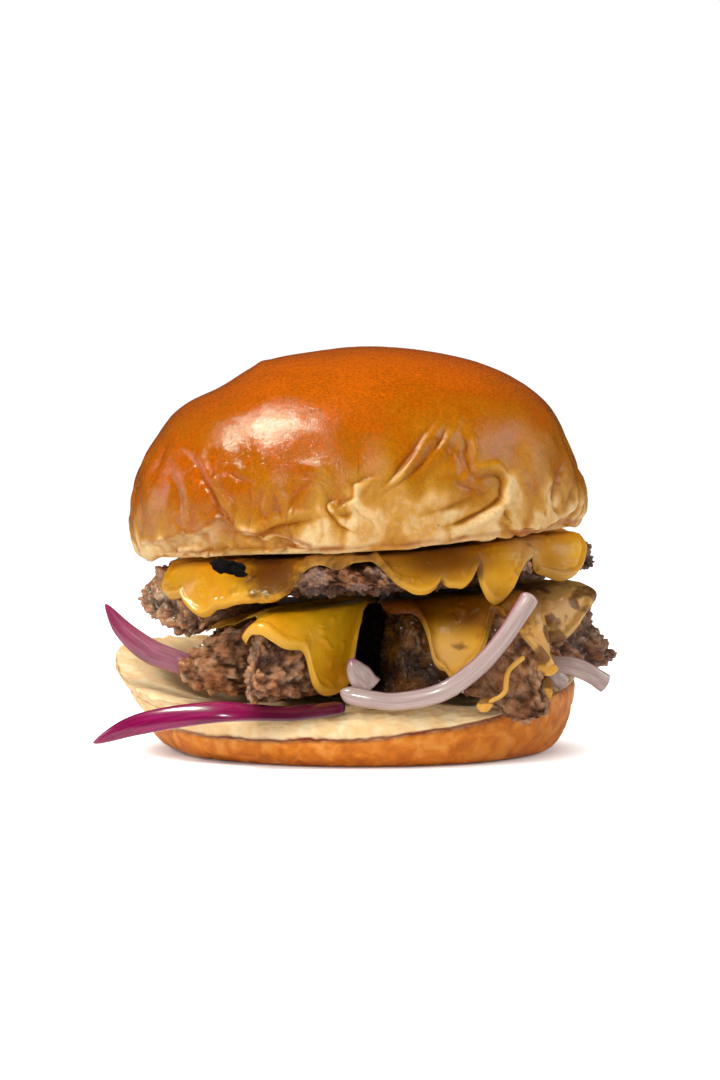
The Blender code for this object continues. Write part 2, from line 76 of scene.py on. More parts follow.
# Bun crown, the same driving sizes as its solid
CROWN_RADIUS = 0.0549
CROWN_SWELLS = (
    (-20, 28, 0.0006),
    (35, 30, -0.0008),
    (90, 45, -0.0015),
    (150, 25, 0.0005),
    (-125, 30, -0.0008),
)
CROWN_TOP = 0.0977
CROWN_WIDEST = 0.0595
CROWN_ROUNDNESS = 2.17
CROWN_ROUNDNESS_SKEW = 0.17
CROWN_RIM_TUCK = 0.0014
CROWN_RIM_ROUND = 0.0016
CUT_HEIGHT = 0.0512
CUT_SLOPE_RIGHT = 0.0733
CUT_SLOPE_BACK = 0.020
CUT_WAVE = 0.0005
CUT_WAVE_LENGTHS = (0.012, 0.017)
CROWN_COLUMNS = 510
CROWN_PACKING = 0.70
CROWN_DOME_ROWS = 122
CROWN_WALL_ROWS = 43
CROWN_RIM_ROWS = 8
CROWN_CUT_ROWS = 12
CROWN_POLE_LIFT = 86

# Creases in the crown as seen from the front, in mm: depth, width, lip beside it, and points (x, z)
CROWN_CREASES_MM = {
    "left_edge": (0.5, 0.8, 0.4, ((-46.4, 73.5), (-48.0, 69.0), (-48.3, 64.8))),
    "left_soft": (0.7, 0.9, 0.5, ((-44.0, 71.0), (-43.5, 66.5), (-42.8, 62.5), (-41.3, 58.5))),
    "left_deep": (1.2, 0.7, 0.7, ((-39.8, 71.5), (-36.3, 67.2), (-33.5, 62.5), (-32.3, 58.5), (-30.6, 55.0))),
    "left_puff": (0.9, 0.6, 0.7, ((-32.4, 71.9), (-33.5, 66.5), (-31.7, 60.9), (-28.9, 55.4), (-26.0, 53.2))),
    "low_fold": (
        1.1, 0.6, 0.9,
        ((-28.5, 54.0), (-25.5, 52.9), (-22.6, 53.4), (-19.0, 55.2), (-13.6, 56.7), (-9.0, 57.8)),
    ),
    "low_stem": (0.6, 0.6, 0.5, ((-21.4, 64.6), (-22.4, 60.4), (-21.4, 56.9))),
    "hook": (0.9, 0.6, 0.6, ((-19.4, 63.5), (-18.3, 59.2), (-16.7, 56.6))),
    "hook_left": (0.5, 0.7, 0.5, ((-30.5, 68.0), (-27.5, 66.5), (-23.5, 65.0))),
    "mid_faint": (0.5, 0.7, 0.5, ((-15.0, 67.8), (-12.5, 67.2), (-9.0, 66.0), (-7.0, 64.4))),
    "loop_top": (0.8, 0.5, 0.7, ((4.5, 67.5), (2.0, 66.7), (-1.2, 65.4), (-1.9, 62.0), (-5.9, 61.8))),
    "loop_low": (0.9, 0.5, 0.8, ((-5.5, 62.0), (-7.1, 60.6), (-5.9, 57.8), (-2.6, 54.9), (1.2, 53.9))),
    "loop_in": (0.6, 0.45, 0.6, ((-2.0, 61.2), (0.4, 58.7), (2.7, 56.2), (3.4, 53.2))),
    "loop_knot": (0.5, 0.5, 0.6, ((-5.6, 58.8), (-2.6, 58.2), (-0.6, 59.6))),
    "slash": (1.1, 0.7, 1.0, ((17.5, 80.0), (14.4, 75.9), (11.6, 71.8), (9.1, 68.4), (6.6, 65.2))),
    "slash_low": (0.7, 0.7, 0.7, ((16.8, 73.8), (14.6, 70.4), (10.5, 66.4), (6.0, 63.0))),
    "slash_right": (0.9, 0.6, 0.9, ((20.6, 78.6), (18.8, 75.6), (16.4, 71.6))),
    "bend": (0.9, 0.7, 0.7, ((23.1, 77.6), (25.0, 74.2), (25.4, 70.2), (26.8, 66.8))),
    "nose": (
        1.4, 0.6, 1.0,
        ((26.0, 66.3), (30.8, 67.6), (33.4, 65.4), (32.3, 61.7), (28.5, 59.0), (24.0, 56.8), (19.0, 55.6)),
    ),
    "nose_inner": (0.7, 0.6, 0.6, ((20.5, 66.4), (23.5, 64.6), (27.0, 64.0), (30.0, 63.0))),
    "nose_soft": (0.6, 0.9, 0.5, ((13.5, 58.0), (19.1, 59.7), (23.1, 61.1), (26.4, 63.2))),
    "nose_low": (0.7, 0.6, 0.5, ((32.3, 61.0), (33.8, 58.0), (35.5, 55.0))),
    "rim_fold": (
        1.2, 0.55, 0.9,
        ((32.4, 56.2), (35.0, 54.4), (37.8, 53.2), (43.2, 55.0), (48.8, 56.7), (52.0, 59.0)),
    ),
    "right_a": (1.0, 0.7, 0.6, ((48.5, 70.4), (46.6, 65.4), (44.9, 61.0), (46.6, 57.6))),
    "right_b": (0.7, 0.7, 0.5, ((51.8, 66.5), (50.4, 62.5), (48.0, 59.0))),
    "upper_left": (0.3, 1.6, 0.4, ((-27.5, 89.0), (-21.0, 91.5), (-14.5, 90.5), (-6.5, 92.0))),
}
# The ragged line along the lower left of the crown where the baked skin has torn from the crumb
CROWN_TEAR_MM = (
    (-50.0, 50.5),
    (-44.5, 51.5),
    (-39.0, 53.5),
    (-34.5, 55.0),
    (-32.5, 56.5),
    (-28.0, 54.5),
    (-18.0, 53.5),
    (-11.0, 51.0),
)

# Hollows in the crown as seen from the front, in mm: x, z, width, height, and depth, below 0 for a swelling
CROWN_HOLLOWS_MM = (
    (-35.0, 90.5, 9.0, 7.0, 1.7),
    (-23.5, 94.8, 1.6, 2.0, -0.5),
    (-51.0, 76.0, 5.0, 10.0, 0.8),
    (53.0, 77.0, 6.0, 9.0, 1.1),
    (-54.5, 53.0, 4.0, 4.5, -0.6),
    (-10.0, 73.0, 5.0, 4.5, 0.7),
    (2.0, 74.0, 4.0, 6.0, 0.6),
    (36.0, 72.0, 4.0, 5.0, 0.7),
    (-20.0, 66.0, 6.0, 5.0, -0.5),
    (22.0, 66.0, 6.0, 5.0, -0.6),
    (11.0, 62.0, 6.0, 4.0, -0.4),
    (-12.0, 98.5, 9.0, 4.0, 0.6),
)

# The crown's relief: sizes in metres, and two factors without a unit
CREASE_DEPTH_FACTOR = 1.35
SWELL_LOW, SWELL_ALL = 0.00045, 0.00010
PUFF_DEPTH, SMALL_PUFF_DEPTH = 0.0022, 0.0010
PUFF_RADIUS = 0.055
PUFF_AT_FRONT = 0.4
LUMP_DEPTH = 0.00055
WRINKLE_DEPTH = 0.00042
SKIN_DEPTH = 0.00003
TEAR_STEP, TEAR_LIP, TEAR_ROUGHNESS = 0.0011, 0.0006, 0.0009
CRUMB_DEPTH = 0.00014
# Hollow depth at which the painted shade in the crown's hollows is full
HOLLOW_SHADE_FULL = 0.0009

# Bun heel
HEEL_FOOT_RADIUS = 0.0435
HEEL_FOOT_SWELLS = ((-150, 34, -0.0030),)
HEEL_CREASE_RADIUS = 0.0505
HEEL_CREASE_RADIUS_SWELLS = ((0, 60, 0.0022), (100, 40, -0.0006), (182, 34, 0.0004))
HEEL_CREASE_HEIGHT = 0.0060
HEEL_CREASE_SWELLS = ((0, 60, 0.0115), (90, 55, 0.0050), (180, 40, 0.0020))
HEEL_LIP_RADIUS = 0.0450
HEEL_LIP_HEIGHT = 0.0130
HEEL_SIDE_SLOPE = 0.8
HEEL_PLATEAU = 0.0130
HEEL_PLATEAU_RADIUS = 0.0300
HEEL_LEFT_CURL = (176, 44)
HEEL_LEFT_CURL_OUT = 0.0140
HEEL_LEFT_LIFT = (154, 36)
HEEL_LEFT_LIFT_UP = 0.0115
HEEL_LEFT_STRAIGHT = 0.90
HEEL_RIGHT_CURL = (6, 24)
HEEL_RIGHT_CURL_OUT = 0.0055
HEEL_RIGHT_CURL_UP = 0.0062
HEEL_BACK_CURL = (90, 60)
HEEL_BACK_CURL_UP = 0.0010
HEEL_COLUMNS = 500
HEEL_FOOT_ROWS = 10
HEEL_SIDE_ROWS = 60
HEEL_TOP_ROWS = 40

# Patties
CLEARANCE = 0.0004
UPPER_CENTRE = (0.0012, 0.0)
UPPER_RADIUS = 0.0485
UPPER_SWELLS = (
    (178, 22, 0.0035),
    (-145, 12, 0.0014),
    (-98, 16, -0.0016),
    (-62, 10, 0.0014),
    (-46, 7, 0.0020),
    (-26, 6, -0.0040),
    (2, 14, 0.0076),
    (60, 12, 0.0020),
    (98, 14, -0.0020),
    (128, 10, 0.0022),
)
UPPER_LUMPS = (
    (178, -14, 22, 40, 0.0036),
    (178, 70, 18, 16, 0.0014),
    (-162, -30, 9, 45, 0.0022),
    (-84, -35, 8, 40, 0.0016),
    (-35, -30, 6, 40, 0.0014),
    (2, -44, 12, 30, 0.0022),
)
UPPER_DEPTH = 0.0094
UPPER_SAGS = ((-176, 34, 0.0056), (-150, 13, 0.0058), (-12, 26, 0.0010))
UPPER_EDGE = 0.0047
LOWER_CENTRE = (0.0060, 0.0)
LOWER_RADIUS = 0.0440
LOWER_SWELLS = (
    (178, 26, 0.0015),
    (-146, 8.5, 0.0140),
    (-134, 3.5, -0.0045),
    (-121.5, 9.0, 0.0138),
    (-98, 9.5, -0.0240),
    (-73, 13, -0.0060),
    (-49, 10, 0.0110),
    (-30, 5, -0.0095),
    (3, 14, 0.0068),
    (40, 10, -0.0030),
    (68, 12, 0.0045),
    (92, 7, -0.0050),
    (118, 13, 0.0055),
    (150, 8, -0.0030),
)
LOWER_LUMPS = (
    (-150, 42, 10, 26, 0.0014),
    (-122, -38, 9, 34, 0.0035),
    (-57, -58, 17, 30, 0.0105),
    (-12, -40, 7, 30, 0.0022),
    (2, -40, 14, 36, 0.0092),
    (0, 42, 12, 24, 0.0034),
    (18, 10, 8, 35, 0.0016),
)
LOWER_TOP = 0.0362
LOWER_TOP_SLOPE = 0.085
LOWER_BOTTOM = 0.0140
LOWER_BOTTOM_SWELLS = (
    (0, 22, 0.0032),
    (-50, 9, -0.0062),
    (-104, 8, 0.0010),
    (-121, 9, -0.0014),
    (-146, 9, -0.0008),
)
LOWER_EDGE = 0.0095
LOWER_HEADROOM = 0.0020
LOWER_SHOULDER = 0.0065
LOWER_SHOULDER_FROM = 0.0520

# Crumbs of meat in four sizes: size, depth of the creases between them, seed
CRUMB_LAYERS = ((0.0062, 0.0010, 11), (0.0028, 0.0013, 47), (0.0014, 0.0008, 83), (0.0008, 0.0003, 29))
CRUMB_CROWN = 0.20
CRUMB_EDGE = 0.80
PATTY_COLUMNS = 640
PATTY_EDGE_ROWS = 112
PATTY_EDGE_TURN = 86
PATTY_FACE_SHARES = (0.3, 0.6, 0.8, 0.9, 0.96)

# Cheese
CHEESE_THICKNESS = 0.0013
CHEESE_LEAST_HANG = 0.0003
CHEESE_SPREAD = 0.8
CHEESE_COLUMNS = 600
CHEESE_FACE_SHARES = (0.3, 0.6, 0.75)
CHEESE_ROWS = 62
CHEESE_EDGE_TURN = 84
# How far each slice hangs down, in mm, at angles round the patty; below nothing it ends short of the edge
UPPER_HANG_MM = (
    (-172, -3.0), (-164, -2.0), (-160, 2.5), (-156, 7.0), (-151, 8.0), (-147, 8.0), (-142, 10.5),
    (-138, 12.0),
    (-133, 10.5), (-126, 9.5), (-117, 9.0), (-112, 7.5), (-108, 3.0), (-104, 1.0), (-100, 1.4), (-97, 2.4),
    (-93, 1.0), (-88, 0.7), (-85, 2.0), (-80, 6.5), (-75, 8.8), (-71.5, 8.2), (-69, 5.8), (-66.5, 8.0),
    (-62.5, 8.2), (-58.5, 4.0), (-56, 9.5), (-53, 13.2), (-49.5, 11.5), (-46, 6.5), (-40, 4.0), (-29, 3.5),
    (-24, 7.5), (-18, 9.8), (-13, 9.4), (-9, 5.5), (-5, -1.5), (4, -3.0), (12, 1.0), (22, 8.5),
    (40, 10.0), (50, 8.0), (60, 2.0), (75, 5.5), (92, 2.0), (108, 8.0), (124, 3.0), (140, 6.0),
    (158, 1.0), (172, -2.5),
)
LOWER_HANG_MM = (
    (-170, 2.0), (-160, -2.0), (-150, -5.0), (-142, -4.0), (-137, 0.0), (-133, 3.0), (-129, 6.5),
    (-124, 4.0), (-119, 4.5), (-115, 7.5), (-112.6, 8.5), (-111.4, 11.0), (-110.4, 17.2), (-109.2, 19.6),
    (-107.7, 19.4), (-106.5, 14.5), (-105.5, 3.0), (-104.2, -3.0), (-97, -5.0), (-91, -2.0), (-88, 2.0),
    (-80, 2.5), (-76, 4.0), (-73.6, 8.0), (-72, 13.0), (-70, 15.5), (-67.8, 16.8), (-66, 19.2),
    (-64.2, 16.6), (-62, 14.5), (-60.3, 11.0), (-59, 7.0), (-57, 3.5), (-55, 4.0), (-52, 9.0), (-48, 15.0),
    (-44, 18.0), (-40, 17.5), (-36, 12.0), (-32, 8.0), (-27, 9.5), (-22, 12.0), (-17, 11.0), (-12, 9.0),
    (-6, 5.0), (0, 2.0), (6, -2.0), (16, 1.0), (28, 6.0), (48, 2.0), (66, 8.5), (84, 2.0), (100, 2.0),
    (118, 8.0), (136, 2.0), (160, 5.0),
)
# A drip's tip is an arc this wide, in degrees, and this deep, in mm
DRIP_TIP = (1.2, 0.6)

# Loose cheese seen from the front: middle, how far it bulges, and its outline as (angle, reach) in mm
CHEESE_PUDDLES = {
    "dribble": {
        "middle": (0.0287, -0.0490, 0.0146),
        "bulge": 0.0014,
        "lean": 0.0,
        "outline": ((-160, 1.7), (-90, 1.5), (-20, 1.7), (30, 2.6), (70, 1.9), (90, 1.7), (150, 1.6)),
    },
    "tongue": {
        "middle": (0.0424, -0.0395, 0.0228),
        "bulge": 0.0007,
        "lean": 0.3,
        "outline": ((-170, 2.6), (-100, 1.2), (-15, 3.8), (-5, 4.2), (30, 1.6), (100, 1.0), (150, 2.2)),
    },
    "torn_edge": {
        "middle": (0.0432, -0.0385, 0.0172),
        "bulge": 0.0008,
        "lean": 0.1,
        "outline": ((-150, 1.8), (-90, 2.6), (-30, 1.9), (20, 1.6), (80, 3.2), (150, 1.4)),
    },
}

CHEESE_STRING = {
    "along": (
        (0.0292, -0.0492, 0.0150),
        (0.0306, -0.0492, 0.0158),
        (0.0324, -0.0489, 0.0167),
        (0.0336, -0.0482, 0.0180),
        (0.0339, -0.0470, 0.0200),
        (0.0344, -0.0458, 0.0222),
        (0.0362, -0.0448, 0.0240),
        (0.0380, -0.0436, 0.0252),
    ),
    "width": 0.0012,
    "thickness": 0.0010,
    "faces": ((0.0, -1.0, 0.2), (0.0, -1.0, 0.2)),
    "points": 0.3,
    "taper": 0.5,
}

# Onion slices: points along the middle, width, thickness, the way the broad side faces, and the taper
ONIONS = {
    "onion_long": {
        "along": (
            (-0.0616, -0.0360, 0.0048),
            (-0.0527, -0.0420, 0.0091),
            (-0.0431, -0.0465, 0.0116),
            (-0.0327, -0.0492, 0.0131),
            (-0.0245, -0.0490, 0.0130),
            (-0.0150, -0.0478, 0.0126),
            (-0.0030, -0.0470, 0.0138),
        ),
        "width": 0.0056,
        "thickness": 0.0015,
        "faces": ((-0.10, -0.95, 0.25), (-0.05, -0.90, 0.42), (0.00, -0.55, 0.84), (0.00, -0.30, 0.95)),
        "points": 0.85,
        "taper": 0.30,
    },
    "onion_peak": {
        "along": (
            (-0.0602, -0.0170, 0.0362),
            (-0.0558, -0.0190, 0.0302),
            (-0.0494, -0.0215, 0.0253),
            (-0.0425, -0.0240, 0.0228),
            (-0.0370, -0.0250, 0.0210),
        ),
        "width": 0.0056,
        "thickness": 0.0016,
        "faces": ((-0.25, -0.93, 0.25), (-0.25, -0.93, 0.25)),
        "points": 0.9,
        "taper": 0.45,
    },
    "onion_arc": {
        "along": (
            (-0.0042, -0.0460, 0.0176),
            (-0.0010, -0.0470, 0.0166),
            (0.0035, -0.0478, 0.0158),
            (0.0095, -0.0480, 0.0155),
            (0.0190, -0.0480, 0.0176),
            (0.0270, -0.0485, 0.0231),
            (0.0327, -0.0490, 0.0295),
            (0.0371, -0.0488, 0.0360),
            (0.0396, -0.0480, 0.0399),
        ),
        "width": 0.0042,
        "thickness": 0.0024,
        "faces": ((0.00, -0.90, 0.44), (0.20, -0.95, 0.22)),
        "points": 0.85,
        "taper": 0.12,
    },
    "onion_stub": {
        "along": (
            (-0.0018, -0.0430, 0.0250),
            (-0.0004, -0.0430, 0.0222),
            (0.0016, -0.0430, 0.0196),
            (0.0032, -0.0432, 0.0180),
        ),
        "width": 0.0058,
        "thickness": 0.0016,
        "faces": ((0.25, -0.95, 0.15), (0.25, -0.95, 0.15)),
        "points": 0.9,
        "taper": 0.50,
    },
    "onion_ledge": {
        "along": (
            (0.0425, -0.0262, 0.0228),
            (0.0495, -0.0270, 0.0222),
            (0.0540, -0.0265, 0.0205),
            (0.0585, -0.0255, 0.0176),
        ),
        "width": 0.0046,
        "thickness": 0.0015,
        "faces": ((0.10, -0.85, 0.50), (0.30, -0.92, 0.25)),
        "points": 0.4,
        "taper": 0.40,
    },
    "onion_rim": {
        "along": (
            (0.0450, -0.0232, 0.0212),
            (0.0470, -0.0224, 0.0192),
            (0.0486, -0.0212, 0.0176),
        ),
        "width": 0.0040,
        "thickness": 0.0014,
        "faces": ((0.45, -0.85, 0.20), (0.45, -0.85, 0.20)),
        "points": 0.3,
        "taper": 0.50,
    },
}
ONION_BOW = 0.0007
ONION_ROUNDNESS = 0.6
SKINNED_ONIONS = ("onion_long", "onion_peak")

CHAR_FLAKE_MIDDLE = (-0.0296, -0.0440, 0.0459)
CHAR_FLAKE_SIZE = (0.0036, 0.0007, 0.0020)
CHAR_FLAKE_SKEW = 0.0022
CHAR_FLAKE_CRUMPLE = 0.0006

# Places of marks on the cheese as seen from the front, in mm: strength, middle (x, z), size (x, z)
UPPER_THIN_SPOTS = (
    (0.9, (-2, 44), (14, 7)),
    (0.5, (40, 45), (5, 5)),
    (1.0, (-20.5, 44), (4.5, 6)),
    (0.8, (27.5, 45.5), (1.3, 4)),
    (0.5, (19, 43), (1.2, 2)),
)
# Painted shade under the crown's rim, in amber
UPPER_CROWN_SHADE_SPOTS = (
    (0.95, (19, 47), (15, 12)),
    (0.9, (-20, 47), (7, 12)),
)
# Further painted shade on the upper slice
UPPER_SHADE_SPOTS = (
    (0.55, (33, 37.5), (4, 4)),
    (0.45, (46, 45), (4, 8)),
    (0.22, (-42, 39), (9, 6)),
)
LOWER_THIN_SPOTS = (
    (0.9, (10, 34), (9, 4)),
    (0.7, (34, 33), (8, 6)),
    (0.45, (23, 27), (2.5, 1.0)),
    (0.5, (-17, 26), (3, 1.2)),
)

# Colours as shown on a screen, 0 to 255
# Tones by how baked; the step from 0.80 to 1.00, reached only towards the top, is painted light
CRUST_TONES = (
    (0.00, (238, 200, 140)),
    (0.12, (212, 150, 58)),
    (0.26, (188, 126, 20)),
    (0.46, (182, 110, 7)),
    (0.64, (178, 98, 4)),
    (0.80, (178, 86, 1)),
    (1.00, (198, 91, 2)),
)
# Brown of the creases, also used for painted shade in the crown's hollows
CREASE_AND_SHADE_BROWN = (144, 70, 2)
TORN_CREAM = (232, 196, 136)
RIM_BROWN = (160, 82, 14)
CRUST_SPECK = (120, 60, 14)
HEEL_BROWNS = ((0.0, (190, 92, 4)), (0.5, (228, 130, 24)), (1.0, (244, 168, 74)))
HEEL_GOLD = (222, 130, 32)
HEEL_CREAMS = ((0.0, (246, 200, 138)), (0.6, (255, 222, 168)), (1.0, (255, 236, 192)))
HEEL_TAN = (240, 198, 134)
TOASTED_BROWN = (124, 40, 2)
HEEL_FOLD_BROWN = (184, 112, 46)
FOOT_BROWN = (118, 56, 20)
MEAT_TONES = ((0.0, (158, 90, 50)), (0.35, (222, 146, 94)), (0.65, (248, 182, 130)), (1.0, (255, 220, 182)))
MEAT_TAN = (182, 118, 72)
CREVICE_SHADE_BROWN = (60, 28, 14)
SEAR_AND_SHADE_BROWN = (66, 30, 16)
JUICE_TONES = ((0.2, (44, 18, 1)), (0.55, (84, 44, 2)), (1.0, (150, 92, 6)))
MILK_FILM = (206, 172, 158)
GAP_SHADE_BLACK = (14, 6, 3)
CHEESE_GOLD = (236, 155, 6)
CHEESE_YELLOW = (250, 186, 26)
CHEESE_BEAD_AND_LIGHT = (230, 172, 60)
CHEESE_PALE = (214, 172, 118)
CHEESE_WORN = (112, 66, 26)
CHEESE_SHADE_AMBER = (100, 46, 0)
CHEESE_SPECK = (110, 66, 24)
ONION_FLESH_TONES = ((0.3, (176, 150, 143)), (0.5, (190, 165, 158)), (0.7, (206, 185, 178)))
ONION_SKIN_PURPLE = (142, 8, 76)
ONION_EDGE_PURPLE = (160, 70, 120)
ONION_SHADE = (58, 2, 22)
CHAR_TONES = ((0.0, (8, 7, 7)), (0.7, (18, 15, 15)), (1.0, (40, 28, 22)))


# Numbers on whole arrays


def swell(angle, centre, width):
    """exp(-(angle from the centre / width) squared): a smooth bump of height 1."""
    away = (angle - centre + 180) % 360 - 180
    return np.exp(-((away / width) ** 2))


def swelled(angle, base, swells):
    """A base value plus a bump of its own reach at each swell's angle."""
    return base + sum(reach * swell(angle, centre, width) for centre, width, reach in swells)


def smooth_step(share):
    """3 s^2 - 2 s^3 of the share held to 0..1."""
    share = np.clip(share, 0, 1)
    return share * share * (3 - 2 * share)


def hashed(cells, seed):
    """A repeatable number from 0 to 1 for each cell of a whole-number grid."""
    mixed = (cells[..., 0] * 73856093) ^ (cells[..., 1] * 19349663) ^ (cells[..., 2] * 83492791)
    mixed = (mixed ^ (seed * 2654435)) & 0xFFFFFFFF
    mixed = ((mixed ^ (mixed >> 13)) * 1274126177) & 0xFFFFFFFF
    mixed = ((mixed ^ (mixed >> 16)) * 668265263) & 0xFFFFFFFF
    return ((mixed ^ (mixed >> 15)) & 0xFFFFFF) / 0x1000000


def crumb_distance(points, size, seed):
    """Distance to the nearest of the middles scattered one to a cell, in cell sizes, and that cell's tone."""
    scaled = points / size
    corner = np.floor(scaled).astype(np.int64)
    nearest = np.full(points.shape[:-1], 9.0)
    tone = np.zeros(points.shape[:-1])
    for step in itertools.product((-1, 0, 1), repeat=3):
        cell = corner + np.array(step)
        centre = cell + np.stack([hashed(cell, seed + axis) for axis in range(3)], axis=-1)
        distance = np.linalg.norm(scaled - centre, axis=-1)
        tone = np.where(distance < nearest, hashed(cell, seed + 5), tone)
        nearest = np.minimum(nearest, distance)
    return nearest, tone


def blurred(values, reach):
    """Mean of the values within a reach along the rows and round the columns."""
    steps = range(-reach, reach + 1)
    padded = np.pad(values, ((reach, reach), (0, 0)), mode="edge")
    along = sum(padded[reach + step : reach + step + len(values)] for step in steps) / len(steps)
    return sum(np.roll(along, step, axis=1) for step in steps) / len(steps)


def soft_noise(points, size, seed, layers=1):
    """Random values at a grid's corners, blended smoothly, -1..1; each further layer is half as large."""
    total = np.zeros(points.shape[:-1])
    for layer in range(layers):
        scaled = points / (size / 2**layer)
        corner = np.floor(scaled).astype(np.int64)
        part = smooth_step(scaled - corner)
        value = 0
        for step in itertools.product((0, 1), repeat=3):
            weight = np.prod(np.where(step, part, 1 - part), axis=-1)
            value = value + weight * hashed(corner + np.array(step), seed + layer)
        total += (2 * value - 1) / 2**layer
    return total


def soft_shift(points, size, seeds):
    """Three soft noises in two layers, one for each direction, which bend a place."""
    return np.stack([soft_noise(points, size, seed, 2) for seed in seeds], axis=-1)


def bell(distance, width):
    """exp(-(distance / width) squared)."""
    return np.exp(-((distance / width) ** 2))


def outward(rings):
    """Unit normals of a skin: the cross product of its differences along and around."""
    along = np.gradient(rings, axis=0)
    around = np.roll(rings, -1, axis=1) - np.roll(rings, 1, axis=1)
    normal = np.cross(along, around)
    return normal / np.maximum(np.linalg.norm(normal, axis=-1, keepdims=True), 1e-12)


def front_angles(columns, packing=0.45):
    """Angles round the burger, packed closer at the front, where they start: u - packing sin u."""
    even = np.arange(columns) * 2 * np.pi / columns
    return np.degrees(even - packing * np.sin(even)) - 90


def placed(angle, radius, height, centre=(0.0, 0.0)):
    """centre + radius (cos angle, sin angle), at a height."""
    turn = np.radians(angle)
    x = centre[0] + radius * np.cos(turn)
    y = centre[1] + radius * np.sin(turn)
    return np.stack(np.broadcast_arrays(x, y, height), axis=-1)


def curve_through(points, count):
    """A Catmull-Rom curve through the points, sampled evenly in its parameter."""
    points = np.array(points)
    padded = np.vstack([2 * points[0] - points[1], points, 2 * points[-1] - points[-2]])
    place = np.linspace(0, len(points) - 1, count)
    index = np.minimum(place.astype(int), len(points) - 2)
    share = (place - index)[:, None]
    a, b, c, d = (padded[index + offset] for offset in range(4))
    return 0.5 * (
        2 * b + (c - a) * share + (2 * a - 5 * b + 4 * c - d) * share**2 + (3 * b - a - 3 * c + d) * share**3
    )


def beside_line(x, z, line):
    """For places seen from the front: distance to a curve, side of it (-1 or 1), and share along it."""
    curve = curve_through(line, 6 * len(line))
    best = np.full(x.shape, 1e9)
    side = np.zeros(x.shape)
    along = np.zeros(x.shape)
    for index in range(len(curve) - 1):
        start, step = curve[index], curve[index + 1] - curve[index]
        share = np.clip(((x - start[0]) * step[0] + (z - start[1]) * step[1]) / (step @ step), 0, 1)
        dx = x - start[0] - share * step[0]
        dz = z - start[1] - share * step[1]
        distance = np.hypot(dx, dz)
        nearer = distance < best
        best = np.where(nearer, distance, best)
        side = np.where(nearer, np.sign(step[0] * dz - step[1] * dx), side)
        along = np.where(nearer, (index + share) / (len(curve) - 1), along)
    return best, side, along


# Meshes


def skin_piece(name, rings, material, node, slot, **marks):
    """A closed mesh over the rings, riding on the burger in its solid's place; marks are attributes."""
    rows, columns = rings.shape[:2]
    points = np.concatenate([rings[0].mean(0)[None], rings.reshape(-1, 3), rings[-1].mean(0)[None]])
    column = np.arange(columns)
    after = (column + 1) % columns
    last = len(points) - 1
    base = 1 + (rows - 1) * columns
    caps = np.concatenate([
        np.stack([np.zeros(columns, int), 1 + column, 1 + after], axis=-1),
        np.stack([base + column, np.full(columns, last), base + after], axis=-1),
    ])
    start = 1 + np.arange(rows - 1)[:, None] * columns
    below = start + columns
    quads = np.stack([start + column, below + column, below + after, start + after], axis=-1)
    mesh = bpy.data.meshes.new(name)
    mesh.from_pydata(points.tolist(), [], caps.tolist() + quads.reshape(-1, 4).tolist())
    for mark, values in marks.items():
        values = np.broadcast_to(values, rings.shape[:2])
        spread = np.concatenate([[values[0].mean()], values.ravel(), [values[-1].mean()]])
        mesh.attributes.new(mark, "FLOAT", "POINT").data.foreach_set("value", spread.astype(np.float32))
    mesh.materials.append(material)
    mesh.shade_smooth()
    piece = bpy.data.objects.new(name, mesh)
    bpy.context.scene.collection.objects.link(piece)
    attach(piece, "root")
    if node:
        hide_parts(node)
    return piece


# Material nodes


def add(tree, kind, inputs=None, **settings):
    """A shader node with its settings, and its inputs set to values or wired from sockets."""
    made = tree.nodes.new(kind)
    for key, value in settings.items():
        setattr(made, key, value)
    for key, value in (inputs or {}).items():
        socket = made.inputs[key]
        if isinstance(value, bpy.types.NodeSocket):
            tree.links.new(value, socket)
        else:
            socket.default_value = value
    return made


def linear(colour):
    """Display colour 0..255 as the linear RGBA that a shader takes."""
    channels = [c / 255 for c in colour]
    return (*[((c + 0.055) / 1.055) ** 2.4 if c > 0.04045 else c / 12.92 for c in channels], 1.0)


def mark_of(tree, name):
    """The value of a point attribute."""
    return add(tree, "ShaderNodeAttribute", attribute_name=name).outputs["Fac"]


def math_of(tree, operation, first, second=0.0, clamp=False):
    """One arithmetic step on values."""
    return add(tree, "ShaderNodeMath", {0: first, 1: second}, operation=operation, use_clamp=clamp).outputs[0]


def spread_of(tree, value, low, high, to_low=0.0, to_high=1.0):
    """A value stretched from one range to another, smoothly and held to its ends."""
    inputs = {"Value": value, "From Min": low, "From Max": high, "To Min": to_low, "To Max": to_high}
    return add(tree, "ShaderNodeMapRange", inputs, interpolation_type="SMOOTHSTEP").outputs[0]


def blend_of(tree, share, first, second, way="MIX"):
    """Two colours mixed by a share."""
    inputs = {0: share, 6: first, 7: second}
    return add(tree, "ShaderNodeMix", inputs, data_type="RGBA", blend_type=way).outputs[2]


def painted(tree, colour, share, shown):
    """A colour with a display colour laid over it, by a share."""
    return blend_of(tree, share, colour, linear(shown))


def times(tree, value, factor):
    """A value times a number."""
    return math_of(tree, "MULTIPLY", value, factor)


def noise_of(tree, place, size, **settings):
    """Blender's noise at a place: the socket of its value."""
    inputs = {"Vector": place, "Scale": size}
    inputs.update({label.title(): value for label, value in settings.items()})
    return add(tree, "ShaderNodeTexNoise", inputs).outputs["Fac"]


def tones_of(tree, value, tones):
    """A colour ramp: each tone is (place, display colour)."""
    ramp = add(tree, "ShaderNodeValToRGB", {"Fac": value})
    elements = ramp.color_ramp.elements
    while len(elements) < len(tones):
        elements.new(0.5)
    for element, (place, colour) in zip(elements, tones):
        element.position = place
        element.color = linear(colour)
    return ramp.outputs["Color"]


